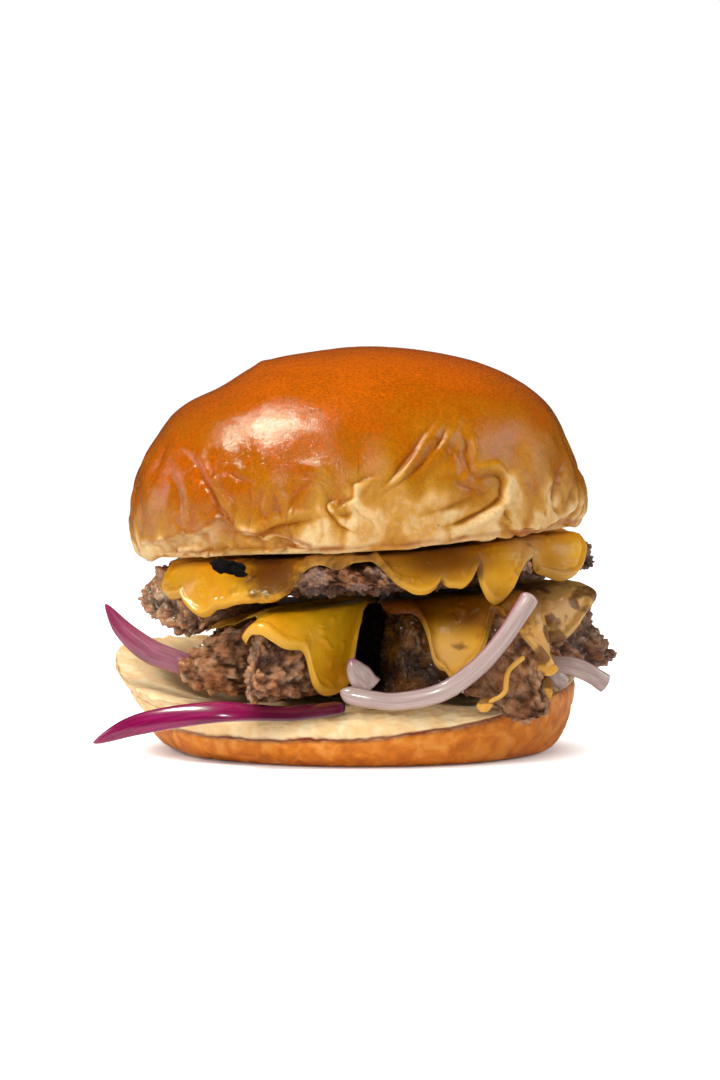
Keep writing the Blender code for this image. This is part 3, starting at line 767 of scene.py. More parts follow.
def new_group(name, values, outputs):
    """An empty shader group with number inputs and outputs."""
    tree = bpy.data.node_groups.new(name, "ShaderNodeTree")
    for label, value in values.items():
        socket = tree.interface.new_socket(label, in_out="INPUT", socket_type="NodeSocketFloat")
        socket.default_value = value
    for label in outputs:
        tree.interface.new_socket(label, in_out="OUTPUT", socket_type="NodeSocketFloat")
    return tree, tree.nodes.new("NodeGroupInput").outputs, tree.nodes.new("NodeGroupOutput").inputs


def patches_group():
    """Soft uneven patches, as baking and grilling leave: bent noise, sharper as the contrast grows."""
    tree, given, out = new_group("patches", {"Size": 60.0, "Contrast": 0.5}, ["Mask"])
    place = add(tree, "ShaderNodeTexCoord").outputs["Object"]
    broad = noise_of(tree, place, given["Size"], detail=3.0, distortion=0.6)
    low = times(tree, given["Contrast"], 0.5)
    mask = spread_of(tree, broad, low, math_of(tree, "SUBTRACT", 1.0, low))
    tree.links.new(mask, out["Mask"])
    return tree


def grain_group():
    """Fine surface grain: pimples of one size with finer grit on them."""
    tree, given, out = new_group("grain", {"Size": 900.0, "Grit": 0.4}, ["Height"])
    place = add(tree, "ShaderNodeTexCoord").outputs["Object"]
    pimples = noise_of(tree, place, given["Size"], detail=2.0, roughness=0.6)
    grit = noise_of(tree, place, times(tree, given["Size"], 3.1), detail=1.0)
    height = math_of(tree, "ADD", pimples, times(tree, grit, given["Grit"]))
    tree.links.new(height, out["Height"])
    return tree


def specks_group():
    """Scattered small dark specks: the middles of some cells of a Voronoi pattern."""
    tree, given, out = new_group("specks", {"Size": 400.0, "Reach": 0.12, "Share": 0.3}, ["Mask"])
    place = add(tree, "ShaderNodeTexCoord").outputs["Object"]
    cells = add(tree, "ShaderNodeTexVoronoi", {"Vector": place, "Scale": given["Size"]})
    lot = add(tree, "ShaderNodeSeparateColor", {0: cells.outputs["Color"]}).outputs[0]
    chosen = math_of(tree, "LESS_THAN", lot, given["Share"])
    near = math_of(tree, "LESS_THAN", cells.outputs["Distance"], given["Reach"])
    tree.links.new(times(tree, chosen, near), out["Mask"])
    return tree


def use_group(tree, group, **values):
    """A group placed in a material with its own values."""
    made = tree.nodes.new("ShaderNodeGroup")
    made.node_tree = group
    for label, value in values.items():
        made.inputs[label].default_value = value
    return made.outputs[0]


def new_material(name, **settings):
    """A Principled material, its tree and its shader, with plain sockets set."""
    material = bpy.data.materials.new(name)
    material.use_nodes = True
    tree = material.node_tree
    shader = tree.nodes["Principled BSDF"]
    for label, value in settings.items():
        shader.inputs[label.replace("_", " ").title().replace("Ior", "IOR")].default_value = value
    return material, tree, shader


def wire(tree, shader, **sockets):
    """Links values into the shader's sockets by name."""
    for label, socket in sockets.items():
        tree.links.new(socket, shader.inputs[label.replace("_", " ").title()])


def bump_of(tree, height, strength, distance):
    """A bump from a height."""
    inputs = {"Height": height, "Strength": strength, "Distance": distance}
    return add(tree, "ShaderNodeBump", inputs).outputs["Normal"]


def crust_material(groups):
    """Egg-washed crust: pale at the rim, gold, then orange-brown and glossier on top, with darker creases;
    painted shade in the hollows and painted light towards the top.
    """
    material, tree, shader = new_material("crust", specular_ior_level=0.32)
    baked, crease, pale, rim = (mark_of(tree, name) for name in ("baked", "crease", "pale", "rim"))
    broad = use_group(tree, groups["patches"], Size=55.0, Contrast=0.30)
    small = use_group(tree, groups["patches"], Size=190.0, Contrast=0.35)
    grain = use_group(tree, groups["grain"], Size=1300.0, Grit=0.9)
    uneven = math_of(tree, "ADD", times(tree, broad, 0.26), times(tree, small, 0.16))
    uneven = math_of(tree, "ADD", uneven, times(tree, grain, 0.26))
    place = math_of(tree, "ADD", baked, math_of(tree, "SUBTRACT", uneven, 0.457), clamp=True)
    colour = tones_of(tree, place, CRUST_TONES)
    colour = blend_of(tree, 0.22, colour, spread_of(tree, grain, 0.72, 1.18), "OVERLAY")
    # Crease brown in the creases, with painted shade in the hollows
    colour = painted(tree, colour, spread_of(tree, crease, 0.1, 0.9, 0.0, 0.78), CREASE_AND_SHADE_BROWN)
    colour = painted(tree, colour, pale, TORN_CREAM)
    colour = painted(tree, colour, rim, RIM_BROWN)
    specks = use_group(tree, groups["specks"], Size=330.0, Reach=0.10, Share=0.22)
    colour = painted(tree, colour, times(tree, specks, 0.55), CRUST_SPECK)
    rough = spread_of(tree, place, 0.1, 0.7, 0.50, 0.11)
    wire(tree, shader, base_color=colour, roughness=rough, normal=bump_of(tree, grain, 0.40, 0.0002))
    return material


def heel_material(groups):
    """The heel: mottled orange-brown crust below a dark toasted line, pale cream crumb above it."""
    material, tree, shader = new_material(
        "heel",
        specular_ior_level=0.30,
        subsurface_weight=0.08,
        subsurface_scale=0.002,
        subsurface_radius=(1.0, 0.5, 0.25),
        coat_roughness=0.3,
    )
    crust, toasted, crease, foot = (mark_of(tree, name) for name in ("crust", "toasted", "crease", "foot"))
    mottle = use_group(tree, groups["patches"], Size=260.0, Contrast=0.45)
    broad = use_group(tree, groups["patches"], Size=70.0, Contrast=0.5)
    brown = painted(tree, tones_of(tree, mottle, HEEL_BROWNS), times(tree, broad, 0.4), HEEL_GOLD)
    cream = painted(tree, tones_of(tree, mottle, HEEL_CREAMS), times(tree, broad, 0.20), HEEL_TAN)
    colour = blend_of(tree, crust, cream, brown)
    colour = painted(tree, colour, toasted, TOASTED_BROWN)
    colour = painted(tree, colour, spread_of(tree, crease, 0.2, 1.0, 0.0, 0.6), HEEL_FOLD_BROWN)
    colour = painted(tree, colour, foot, FOOT_BROWN)
    grain = use_group(tree, groups["grain"], Size=900.0, Grit=0.9)
    normal = bump_of(tree, grain, 0.45, 0.0003)
    rough = spread_of(tree, crust, 0.0, 1.0, 0.75, 0.5)
    coat = times(tree, crust, 0.04)
    wire(tree, shader, base_color=colour, roughness=rough, coat_weight=coat, normal=normal)
    return material


def meat_material(groups):
    """Browned mince: brown crumbs with painted shade in the crevices between them, dark sear and painted
    shade, juice, painted black shade in a gap, and a wet patchy gloss.
    """
    material, tree, shader = new_material(
        "meat", specular_ior_level=0.5, subsurface_weight=0.05, subsurface_scale=0.001, coat_roughness=0.14
    )
    marks = ("pit", "tone", "seared", "void", "juice", "milk")
    pit, tone, seared, void, juice, milk = (mark_of(tree, name) for name in marks)
    tint = use_group(tree, groups["patches"], Size=420.0, Contrast=0.4)
    broad = use_group(tree, groups["patches"], Size=120.0, Contrast=0.4)
    place = math_of(tree, "ADD", times(tree, tint, 0.4), spread_of(tree, tone, 0.2, 0.8, 0.0, 0.6))
    colour = painted(tree, tones_of(tree, place, MEAT_TONES), times(tree, broad, 0.35), MEAT_TAN)
    # Painted shade in the crevices between crumbs
    colour = painted(tree, colour, spread_of(tree, pit, 0.35, 0.95, 0.0, 0.85), CREVICE_SHADE_BROWN)
    # Darker sear at the right ends, and painted shade along the upper underside and between the left lobes
    colour = painted(tree, colour, seared, SEAR_AND_SHADE_BROWN)
    colour = blend_of(tree, juice, colour, tones_of(tree, broad, JUICE_TONES))
    colour = painted(tree, colour, milk, MILK_FILM)
    # Painted black shade in the deep gap beside the middle of the lower patty
    colour = painted(tree, colour, void, GAP_SHADE_BLACK)
    grain = use_group(tree, groups["grain"], Size=1900.0, Grit=0.6)
    wet = use_group(tree, groups["patches"], Size=500.0, Contrast=0.25)
    coat = spread_of(tree, wet, 0.3, 0.7, 0.0, 0.55)
    coat = math_of(tree, "ADD", coat, times(tree, juice, 0.7), clamp=True)
    coat = math_of(tree, "SUBTRACT", coat, void, clamp=True)
    rough = math_of(tree, "SUBTRACT", spread_of(tree, wet, 0.3, 0.7, 0.42, 0.20), times(tree, juice, 0.08))
    normal = bump_of(tree, grain, 1.0, 0.0007)
    wire(tree, shader, base_color=colour, roughness=rough, coat_weight=coat, normal=normal)
    return material


def cheese_material(groups):
    """Melted cheese: golden, paler at thick edges with painted light there, brown where it is thin, and
    painted amber shade.
    """
    material, tree, shader = new_material(
        "cheese",
        roughness=0.34,
        specular_ior_level=0.24,
        subsurface_weight=0.18,
        subsurface_scale=0.0018,
        subsurface_radius=(1.0, 0.6, 0.15),
        coat_weight=0.08,
        coat_roughness=0.2,
    )
    thin, edge, pale, deep = (mark_of(tree, name) for name in ("thin", "edge", "pale", "deep"))
    broad = use_group(tree, groups["patches"], Size=110.0, Contrast=0.45)
    small = use_group(tree, groups["patches"], Size=380.0, Contrast=0.35)
    colour = blend_of(tree, broad, linear(CHEESE_GOLD), linear(CHEESE_YELLOW))
    # Paler beads along the lower edges, with painted light on them
    colour = painted(tree, colour, edge, CHEESE_BEAD_AND_LIGHT)
    colour = painted(tree, colour, pale, CHEESE_PALE)
    uneven = times(tree, math_of(tree, "SUBTRACT", small, 0.5), 0.5)
    worn = spread_of(tree, math_of(tree, "ADD", thin, uneven), 0.35, 0.85, 0.0, 0.85)
    colour = painted(tree, colour, worn, CHEESE_WORN)
    # Painted shade in amber where the layers above shade the cheese
    colour = painted(tree, colour, deep, CHEESE_SHADE_AMBER)
    specks = use_group(tree, groups["specks"], Size=300.0, Reach=0.09, Share=0.10)
    colour = painted(tree, colour, times(tree, specks, 0.6), CHEESE_SPECK)
    grain = use_group(tree, groups["grain"], Size=420.0, Grit=0.3)
    wire(tree, shader, base_color=colour, normal=bump_of(tree, grain, 0.22, 0.0006))
    return material


def onion_material(name, purple, streak):
    """Red onion: fine streaks along the slice, purple where its skin mark is, whitish elsewhere."""
    material, tree, shader = new_material(
        name,
        roughness=0.22,
        subsurface_weight=0.22,
        subsurface_scale=0.0012,
        subsurface_radius=(1.0, 0.7, 0.7),
        coat_weight=0.35,
        coat_roughness=0.10,
    )
    skin, along, across, shade = (mark_of(tree, mark) for mark in ("skin", "along", "across", "shade"))
    place = add(tree, "ShaderNodeCombineXYZ", {0: times(tree, along, streak), 1: times(tree, across, 4.0)})
    lines = noise_of(tree, place.outputs[0], 1.0, detail=2.0, roughness=0.5)
    darker = tuple(int(0.8 * channel) for channel in purple)
    lighter = tuple(channel + 16 for channel in purple)
    dark = tones_of(tree, lines, ((0.3, darker), (0.5, purple), (0.7, lighter)))
    colour = blend_of(tree, skin, tones_of(tree, lines, ONION_FLESH_TONES), dark)
    colour = painted(tree, colour, shade, ONION_SHADE)
    wire(tree, shader, base_color=colour, normal=bump_of(tree, lines, 0.08, 0.0003))
    return material


def char_material(groups):
    """Burnt flake: near black with a faint brown grain."""
    material, tree, shader = new_material("char", roughness=0.85, specular_ior_level=0.12)
    tint = use_group(tree, groups["patches"], Size=700.0, Contrast=0.4)
    grain = use_group(tree, groups["grain"], Size=1800.0, Grit=0.8)
    wire(tree, shader, base_color=tones_of(tree, tint, CHAR_TONES), normal=bump_of(tree, grain, 0.8, 0.0004))
    return material


# Bun


def cut_plane(x, y):
    """Height of the crown's cut face: a slanting plane with a slight wave."""
    across, deep = CUT_WAVE_LENGTHS
    wave = CUT_WAVE * np.sin(x / across + 1.0) * np.cos(y / deep)
    return CUT_HEIGHT + CUT_SLOPE_RIGHT * x + CUT_SLOPE_BACK * y + wave


def crown_base(angle):
    """Smooth crown and its count of rows outside the cut: superellipse dome, wall, round rim, cut face.

    The dome's rows are packed low, where the folds are: (1 - s (1.45 - 0.45 s)) of the lift to the pole.
    """
    radius = swelled(angle, CROWN_RADIUS, CROWN_SWELLS)
    power = 2 / (CROWN_ROUNDNESS + CROWN_ROUNDNESS_SKEW * np.cos(np.radians(angle)))
    rings = []
    step = np.linspace(0, 1, CROWN_DOME_ROWS)
    for lift in np.radians(CROWN_POLE_LIFT * (1 - step * (1.45 - 0.45 * step))):
        height = CROWN_WIDEST + (CROWN_TOP - CROWN_WIDEST) * np.sin(lift) ** power
        rings.append(placed(angle, radius * np.cos(lift) ** power, height))
    rim_radius = radius - CROWN_RIM_TUCK
    rim_ring = placed(angle, rim_radius, 0)
    rim = cut_plane(rim_ring[:, 0], rim_ring[:, 1]) + CROWN_RIM_ROUND
    for share in np.linspace(0, 1, CROWN_WALL_ROWS + 1)[1:]:
        wall_radius = radius - CROWN_RIM_TUCK * share**2
        rings.append(placed(angle, wall_radius, CROWN_WIDEST + (rim - CROWN_WIDEST) * share))
    for turn in np.radians(np.linspace(0, 90, CROWN_RIM_ROWS + 1)[1:]):
        inwards = CROWN_RIM_ROUND * (1 - np.cos(turn))
        rings.append(placed(angle, rim_radius - inwards, rim - CROWN_RIM_ROUND * np.sin(turn)))
    walls = len(rings)
    for share in np.linspace(0.97, 0.1, CROWN_CUT_ROWS):
        ring = placed(angle, (rim_radius - CROWN_RIM_ROUND) * share, 0)
        ring[:, 2] = cut_plane(ring[:, 0], ring[:, 1])
        rings.append(ring)
    return np.array(rings), walls


def crown_creases(rings):
    """Folds: -depth exp(-d/w) with a low swell beside each, fading towards its ends, and the hollows.

    Gives the push along the normals, in metres, and how far each place is in a groove, 0..1.
    """
    x, z = rings[..., 0] * 1000, rings[..., 2] * 1000
    front = smooth_step(-rings[..., 1] / 0.012)
    wobble = soft_noise(rings, 0.004, 5, 2) * 0.7
    broken = 0.75 + 0.35 * soft_noise(rings, 0.003, 6)
    push = np.zeros(x.shape)
    groove = np.zeros(x.shape)
    for depth, width, lip, line in CROWN_CREASES_MM.values():
        distance, side, along = beside_line(x + wobble, z + wobble * 0.6, line)
        fade = np.sin(np.pi * np.clip(along, 0.02, 0.98)) ** 0.6 * front * broken
        cut = np.exp(-distance / (0.9 * width)) * fade
        beside = bell(distance * side - 2.4 * width, 2.0 * width) * fade
        push += CREASE_DEPTH_FACTOR * depth * (1.1 * lip * beside - cut)
        groove = np.maximum(groove, bell(distance, 0.65 * width) * fade * np.clip(depth, 0, 1))
    for middle_x, middle_z, wide, tall, depth in CROWN_HOLLOWS_MM:
        push -= depth * spot(x, z, (middle_x, middle_z), (wide, tall))
    return push / 1000, groove


def crown_puffs(rings, angle):
    """Puffed wrinkles: |n| of noise on a place round the bun, bent by softer noise, in two sizes."""
    around = np.broadcast_to(np.radians(angle) * PUFF_RADIUS, rings.shape[:2])
    place = np.stack([around, rings[..., 2] * 0.6, rings[..., 1] * 0], axis=-1)
    place = place + 0.005 * soft_shift(rings, 0.014, (21, 22, 23))
    return [np.abs(soft_noise(place, size, seed, 2)) for size, seed in ((0.0120, 31), (0.0045, 37))]


def crown_zones(rings, walls):
    """Height above the cut, and where the outer skin, its lower part, its lowest part and the front are."""
    above = rings[..., 2] - cut_plane(rings[..., 0], rings[..., 1])
    on_wall = np.zeros(rings.shape[:2])
    on_wall[:walls] = 1
    low = on_wall * smooth_step((0.030 - above) / 0.022)
    lowest = on_wall * smooth_step((0.018 - above) / 0.014)
    front = smooth_step((-rings[..., 1] - 0.01) / 0.02)
    return above, on_wall, low, lowest, front


def crown_tear(rings, on_wall, front):
    """The torn skin at the lower left: near its ragged line, below it, distance in mm, and side."""
    x = rings[..., 0]
    ragged = 0.9 * soft_noise(rings, 0.005, 8, 2) + 0.6 * soft_noise(rings, 0.0018, 9, 2)
    distance, side, _ = beside_line(x * 1000, rings[..., 2] * 1000 + ragged, CROWN_TEAR_MM)
    torn = front * on_wall * (x < -0.008) * (distance < 6)
    below = torn * smooth_step(0.5 - side * distance / 0.4)
    return torn, below, distance, side


def crown_browning(rings, above, low, puff, swells, hollow_shade):
    """How far each place is baked, 0 at the rim to 1 on top, later at the cream band in the lower middle;
    with painted light towards the top and on puffs, and painted shade in hollows.
    """
    x = rings[..., 0]
    left = smooth_step(-x / 0.045)
    reach = 0.026 - 0.008 * left + 0.003 * smooth_step(x / 0.05)
    cream = smooth_step((x + 0.012) / 0.010) * smooth_step((0.045 - x) / 0.010)
    start = above - 0.0015 - 0.0060 * cream - 0.0025 * swells + 0.003 * soft_noise(rings, 0.006, 14, 2)
    baked = np.clip(start / reach, 0, 1)
    # The last fifth, towards the top, is painted light: the top lighter than the front
    baked = 0.8 * baked ** (0.75 - 0.2 * left) + 0.2 * smooth_step((above - 0.026) / 0.018)
    streaks = soft_noise(rings * (1, 1, 0.35), 0.0045, 24, 3)
    # Painted shade deeper in the hollows and painted light on raised puffs; the streaks are uneven baking
    return baked + (0.22 * hollow_shade + 0.20 * streaks - 0.10 * (np.minimum(puff, 0.5) - 0.25)) * low


def build_crown(material):
    """The crown, pushed in and out along its normals by swells, creases, wrinkles and the torn lip."""
    angle = front_angles(CROWN_COLUMNS, CROWN_PACKING)
    rings, walls = crown_base(angle)
    above, on_wall, low, lowest, front = crown_zones(rings, walls)
    x = rings[..., 0]
    swells = soft_noise(rings, 0.019, 3, 2)
    puff, small_puff = crown_puffs(rings, angle)
    push, groove = crown_creases(rings)
    push = push * on_wall + (SWELL_LOW * low + SWELL_ALL) * swells * on_wall
    fewer = 1 - (1 - PUFF_AT_FRONT) * front
    push = push + PUFF_DEPTH * (np.minimum(puff, 0.45) - 0.3) * low * fewer
    push = push + SMALL_PUFF_DEPTH * (np.minimum(small_puff, 0.4) - 0.25) * lowest * fewer
    lumps = soft_noise(rings * (1, 1, 0.7), 0.0085, 16, 2)
    push = push + LUMP_DEPTH * lumps * on_wall * smooth_step((0.034 - above) / 0.014)
    bent = rings * (1, 1, 0.55) + 0.004 * soft_shift(rings, 0.010, (25, 26, 27))
    wrinkle = bell(soft_noise(bent, 0.0095, 28, 1), 0.055) * smooth_step(soft_noise(rings, 0.012, 34) + 0.4)
    push = push - WRINKLE_DEPTH * wrinkle * low
    push = push + SKIN_DEPTH * soft_noise(rings, 0.0016, 15, 2) * on_wall
    torn, below, distance, side = crown_tear(rings, on_wall, front)
    push = push - TEAR_STEP * below * smooth_step(distance / 1.0) + TEAR_LIP * torn * bell(distance, 0.8)
    push = push + below * TEAR_ROUGHNESS * soft_noise(rings, 0.0026, 13, 2)
    push = push + CRUMB_DEPTH * soft_noise(rings, 0.0016, 12, 2) * lowest
    # How hollow each place is against its surroundings: paints shade into the crease mark and the baking
    hollow_shade = np.clip((blurred(push, 12) - push) / HOLLOW_SHADE_FULL, -1, 1) * on_wall
    groove = np.clip(np.maximum(groove, 0.45 * hollow_shade), 0, 1)
    groove = np.maximum(groove, 0.45 * wrinkle * low)
    baked = crown_browning(rings, above, low, puff, swells, hollow_shade)
    edge_height = 0.0011 + 0.0004 * soft_noise(rings, 0.004, 19, 2)
    cut_edge = bell(above - edge_height, 0.0006) * smooth_step((x + 0.050) / 0.012)
    cut_edge = cut_edge * (0.45 + 0.55 * smooth_step(soft_noise(rings, 0.006, 17, 2) + 0.6))
    tear_edge = torn * bell(distance * side - 0.5, 0.5) * 0.8
    patchy = 0.2 + 0.8 * smooth_step(0.9 * soft_noise(rings, 0.0035, 18, 3) + 0.5)
    pale = below * (0.15 + 0.75 * smooth_step((-0.031 - x) / 0.006))
    pale = pale * smooth_step(1.2 - distance / 6) * patchy
    marks = {
        "baked": np.clip(baked, 0, 1) * on_wall,
        "crease": groove,
        "pale": np.clip(np.maximum(pale, 1 - on_wall), 0, 1),
        "rim": np.clip(np.maximum(cut_edge, tear_edge), 0, 1) * on_wall,
    }
    points = rings + outward(rings) * push[..., None]
    skin_piece("crown_crust", points, material, "bun_crown", "crust", **marks)


def curl(angle, where):
    """1 - (1 - swell) squared: a bump with a broad top."""
    return 1 - (1 - swell(angle, *where)) ** 2


def heel_lip(angle):
    """Radius and height of the heel's upper edge."""
    left = curl(angle, HEEL_LEFT_CURL)
    right = curl(angle, HEEL_RIGHT_CURL)
    back = curl(angle, HEEL_BACK_CURL)
    radius = HEEL_LIP_RADIUS + HEEL_LEFT_CURL_OUT * left + HEEL_RIGHT_CURL_OUT * right
    height = HEEL_LIP_HEIGHT + HEEL_LEFT_LIFT_UP * curl(angle, HEEL_LEFT_LIFT)
    height = height + HEEL_RIGHT_CURL_UP * right + HEEL_BACK_CURL_UP * back
    return radius, height


def heel_crease(angle):
    """Radius and height of the line between brown crust and pale crumb."""
    radius = swelled(angle, HEEL_CREASE_RADIUS, HEEL_CREASE_RADIUS_SWELLS)
    height = swelled(angle, HEEL_CREASE_HEIGHT, HEEL_CREASE_SWELLS)
    return radius, height


def heel_top(x, y):
    """Height that clears the heel: flat middle, rise to the lip, quarter ellipse, slope outside."""
    angle = np.degrees(np.arctan2(y, x))
    radius = np.hypot(x, y)
    lip_radius, lip_height = heel_lip(angle)
    crease_radius, crease_height = heel_crease(angle)
    rise = smooth_step((radius - HEEL_PLATEAU_RADIUS) / (lip_radius - HEEL_PLATEAU_RADIUS))
    inside = HEEL_PLATEAU + (lip_height - HEEL_PLATEAU) * rise
    run = np.maximum(crease_radius - lip_radius, 0.001)
    out = np.clip((radius - lip_radius) / run, 0, 1)
    shoulder = crease_height + (lip_height - crease_height) * np.sqrt(1 - out**2)
    beyond = radius - np.maximum(lip_radius, crease_radius)
    slope = np.minimum(lip_height, shoulder) - HEEL_SIDE_SLOPE * np.maximum(beyond, 0)
    return np.where(radius <= lip_radius, inside, slope)


def heel_base(angle):
    """Smooth heel from the middle of its foot over crust, shoulder and lip; and a number for each row.

    Rows are -1 on the foot, 0 to 1 on the crust, 1 to 2 up to the lip, and past 2 on top. The shoulder is a
    quarter ellipse, straighter where the left wall stands up.
    """
    lip_radius, lip_height = heel_lip(angle)
    crease_radius, crease_height = heel_crease(angle)
    foot_radius = swelled(angle, HEEL_FOOT_RADIUS, HEEL_FOOT_SWELLS)
    rings, rows = [], []
    for share in np.linspace(0.1, 0.97, HEEL_FOOT_ROWS):
        rings.append(placed(angle, foot_radius * share, 0.0))
        rows.append(-1.0)
    for share in np.linspace(0, 1, HEEL_SIDE_ROWS):
        turn = share * np.pi / 2
        radius = foot_radius + (crease_radius - foot_radius) * np.sin(turn)
        rings.append(placed(angle, radius, crease_height * (1 - np.cos(turn))))
        rows.append(share)
    straight = HEEL_LEFT_STRAIGHT * curl(angle, HEEL_LEFT_CURL)
    for share in np.linspace(0, 1, HEEL_SIDE_ROWS)[1:]:
        turn = share * np.pi / 2
        out = ((1 - np.cos(turn)) * (1 - straight) + np.sin(turn) * straight) ** (1 - 0.2 * straight)
        radius = crease_radius + (lip_radius - crease_radius) * out
        rings.append(placed(angle, radius, crease_height + (lip_height - crease_height) * np.sin(turn)))
        rows.append(1 + share)
    for share in np.linspace(0.985, 0.1, HEEL_TOP_ROWS):
        ring = placed(angle, lip_radius * share, 0.0)
        ring[:, 2] = heel_top(ring[:, 0], ring[:, 1])
        rings.append(ring)
        rows.append(3 - share)
    return np.array(rings)[::-1], np.array(rows)[::-1]


def build_heel(material):
    """The heel, wrinkled finely on its crust, toasted along the crease, and ragged at the lip."""
    angle = front_angles(HEEL_COLUMNS)
    rings, rows = heel_base(angle)
    row = np.broadcast_to(rows[:, None], rings.shape[:2])
    normal = outward(rings)
    swells = soft_noise(rings, 0.012, 61, 2)
    fine = soft_noise(rings * (1, 1, 1.8), 0.0016, 62, 3)
    on_foot = row < 0
    crust = smooth_step((1.0 + 0.05 * swells - row) / 0.05) * (row >= 0)
    ridge = np.clip(1 - np.abs(soft_noise(rings * (1, 1, 0.6), 0.010, 64, 2)) * 2.4, 0, 1) ** 3
    push = 0.00035 * swells * smooth_step(row / 0.4)
    push = push + (0.00012 * fine - 0.0004 * ridge) * smooth_step(row / 0.3) * crust
    line = bell(row - 1.0 - 0.05 * swells - 0.02 * fine, np.where(row > 1, 0.045, 0.055))
    push = push - 0.0003 * line
    crumb = smooth_step((row - 1.1) / 0.2)
    lip = bell(row - 2.0, 0.10)
    push = push + crumb * (0.00022 * fine + 0.00025 * soft_noise(rings, 0.004, 66, 2))
    push = push + 0.0004 * lip * soft_noise(rings, 0.003, 67, 2)
    left = curl(angle, HEEL_LEFT_CURL) * smooth_step((row - 1.0) / 0.1) * (row < 2)
    left_crease = bell(row - 1.42 - 0.10 * swells, 0.05) * left
    push = push - 0.0007 * left_crease + 0.0004 * left * soft_noise(rings, 0.010, 68)
    push = np.where(on_foot, 0, push)
    points = rings + normal * push[..., None]
    points[..., 2] = np.maximum(points[..., 2], 0)
    foot = np.where(on_foot, 1.0, bell(row, 0.16) * (0.6 + 0.4 * soft_noise(rings, 0.005, 69)))
    toasted = line * (1.0 + 0.15 * swells) * (1 - 0.9 * curl(angle, HEEL_LEFT_CURL) ** 3 * (row > 0.9))
    edge = bell(row - 1.93, 0.05) * smooth_step(soft_noise(rings, 0.004, 70, 2) + 0.2)
    marks = {
        "crust": crust,
        "toasted": np.clip(toasted, 0, 1),
        "crease": np.maximum(left_crease, 0.7 * edge),
        "foot": np.clip(foot, 0, 1),
    }
    skin_piece("heel_crust", points, material, "bun_heel", "crust", **marks)


# Patties and cheese


def upper_top(x, y):
    """Top of the upper patty: one slice of cheese under the cut."""
    return cut_plane(x, y) - CHEESE_THICKNESS - 2.2 * CLEARANCE


def upper_bottom(x, y):
    """Underside of the upper patty, sagging at the left."""
    angle = np.degrees(np.arctan2(y, x))
    reach = smooth_step(np.hypot(x, y) / UPPER_RADIUS) ** 2
    return upper_top(x, y) - UPPER_DEPTH - swelled(angle, 0, UPPER_SAGS) * reach


def lower_top(x, y):
    """Top of the lower patty: a slope, held under the patty above and free to rise beyond its edge."""
    beyond = LOWER_SHOULDER * smooth_step((np.hypot(x, y) - LOWER_SHOULDER_FROM) / 0.005)
    return np.minimum(LOWER_TOP + LOWER_TOP_SLOPE * x, upper_bottom(x, y) - LOWER_HEADROOM + beyond)


def lower_bottom(x, y):
    """Underside of the lower patty, held up by the heel."""
    angle = np.degrees(np.arctan2(y, x))
    free = swelled(angle, LOWER_BOTTOM, LOWER_BOTTOM_SWELLS)
    return np.maximum(free, heel_top(x, y) + 2.5 * CLEARANCE)


UPPER_PATTY = {
    "centre": UPPER_CENTRE,
    "radius": UPPER_RADIUS,
    "swells": UPPER_SWELLS,
    "lumps": UPPER_LUMPS,
    "edge": UPPER_EDGE,
    "top": upper_top,
    "bottom": upper_bottom,
}
LOWER_PATTY = {
    "centre": LOWER_CENTRE,
    "radius": LOWER_RADIUS,
    "swells": LOWER_SWELLS,
    "lumps": LOWER_LUMPS,
    "edge": LOWER_EDGE,
    "top": lower_top,
    "bottom": lower_bottom,
}


def patty_ring(shape, angle, turn):
    """One ring of a rounded edge: radius - edge (1 - cos turn) plus lumps, height by sin turn."""
    radius = swelled(angle, shape["radius"], shape["swells"])
    radius = radius - shape["edge"] * (1 - np.cos(np.radians(turn)))
    for centre, level, width, tall, reach in shape["lumps"]:
        radius = radius + reach * swell(angle, centre, width) * np.exp(-(((turn - level) / tall) ** 2))
    ring = placed(angle, radius, 0.0, shape["centre"])
    above = shape["top"](ring[:, 0], ring[:, 1])
    below = shape["bottom"](ring[:, 0], ring[:, 1])
    ring[:, 2] = (above + below) / 2 + (above - below) / 2 * np.sin(np.radians(turn))
    return ring


def face_ring(shape, angle, share, level):
    """A ring on the flat top or underside, at a share of the way out to the edge."""
    radius = (swelled(angle, shape["radius"], shape["swells"]) - shape["edge"]) * share
    ring = placed(angle, radius, 0.0, shape["centre"])
    ring[:, 2] = shape[level](ring[:, 0], ring[:, 1])
    return ring


def crumb_relief(points):
    """Depth of the creases between crumbs, smooth steps of crumb distance in each size; and tones."""
    bent = points + 0.0007 * np.stack([soft_noise(points, 0.003, seed, 2) for seed in (91, 92, 93)], axis=-1)
    depth = np.zeros(points.shape[:-1])
    tones = np.zeros(points.shape[:-1])
    for size, deep, seed in CRUMB_LAYERS:
        distance, tone = crumb_distance(bent, size, seed)
        depth += deep * smooth_step((distance - CRUMB_CROWN) / (CRUMB_EDGE - CRUMB_CROWN))
        tones += tone / len(CRUMB_LAYERS)
    return depth, tones


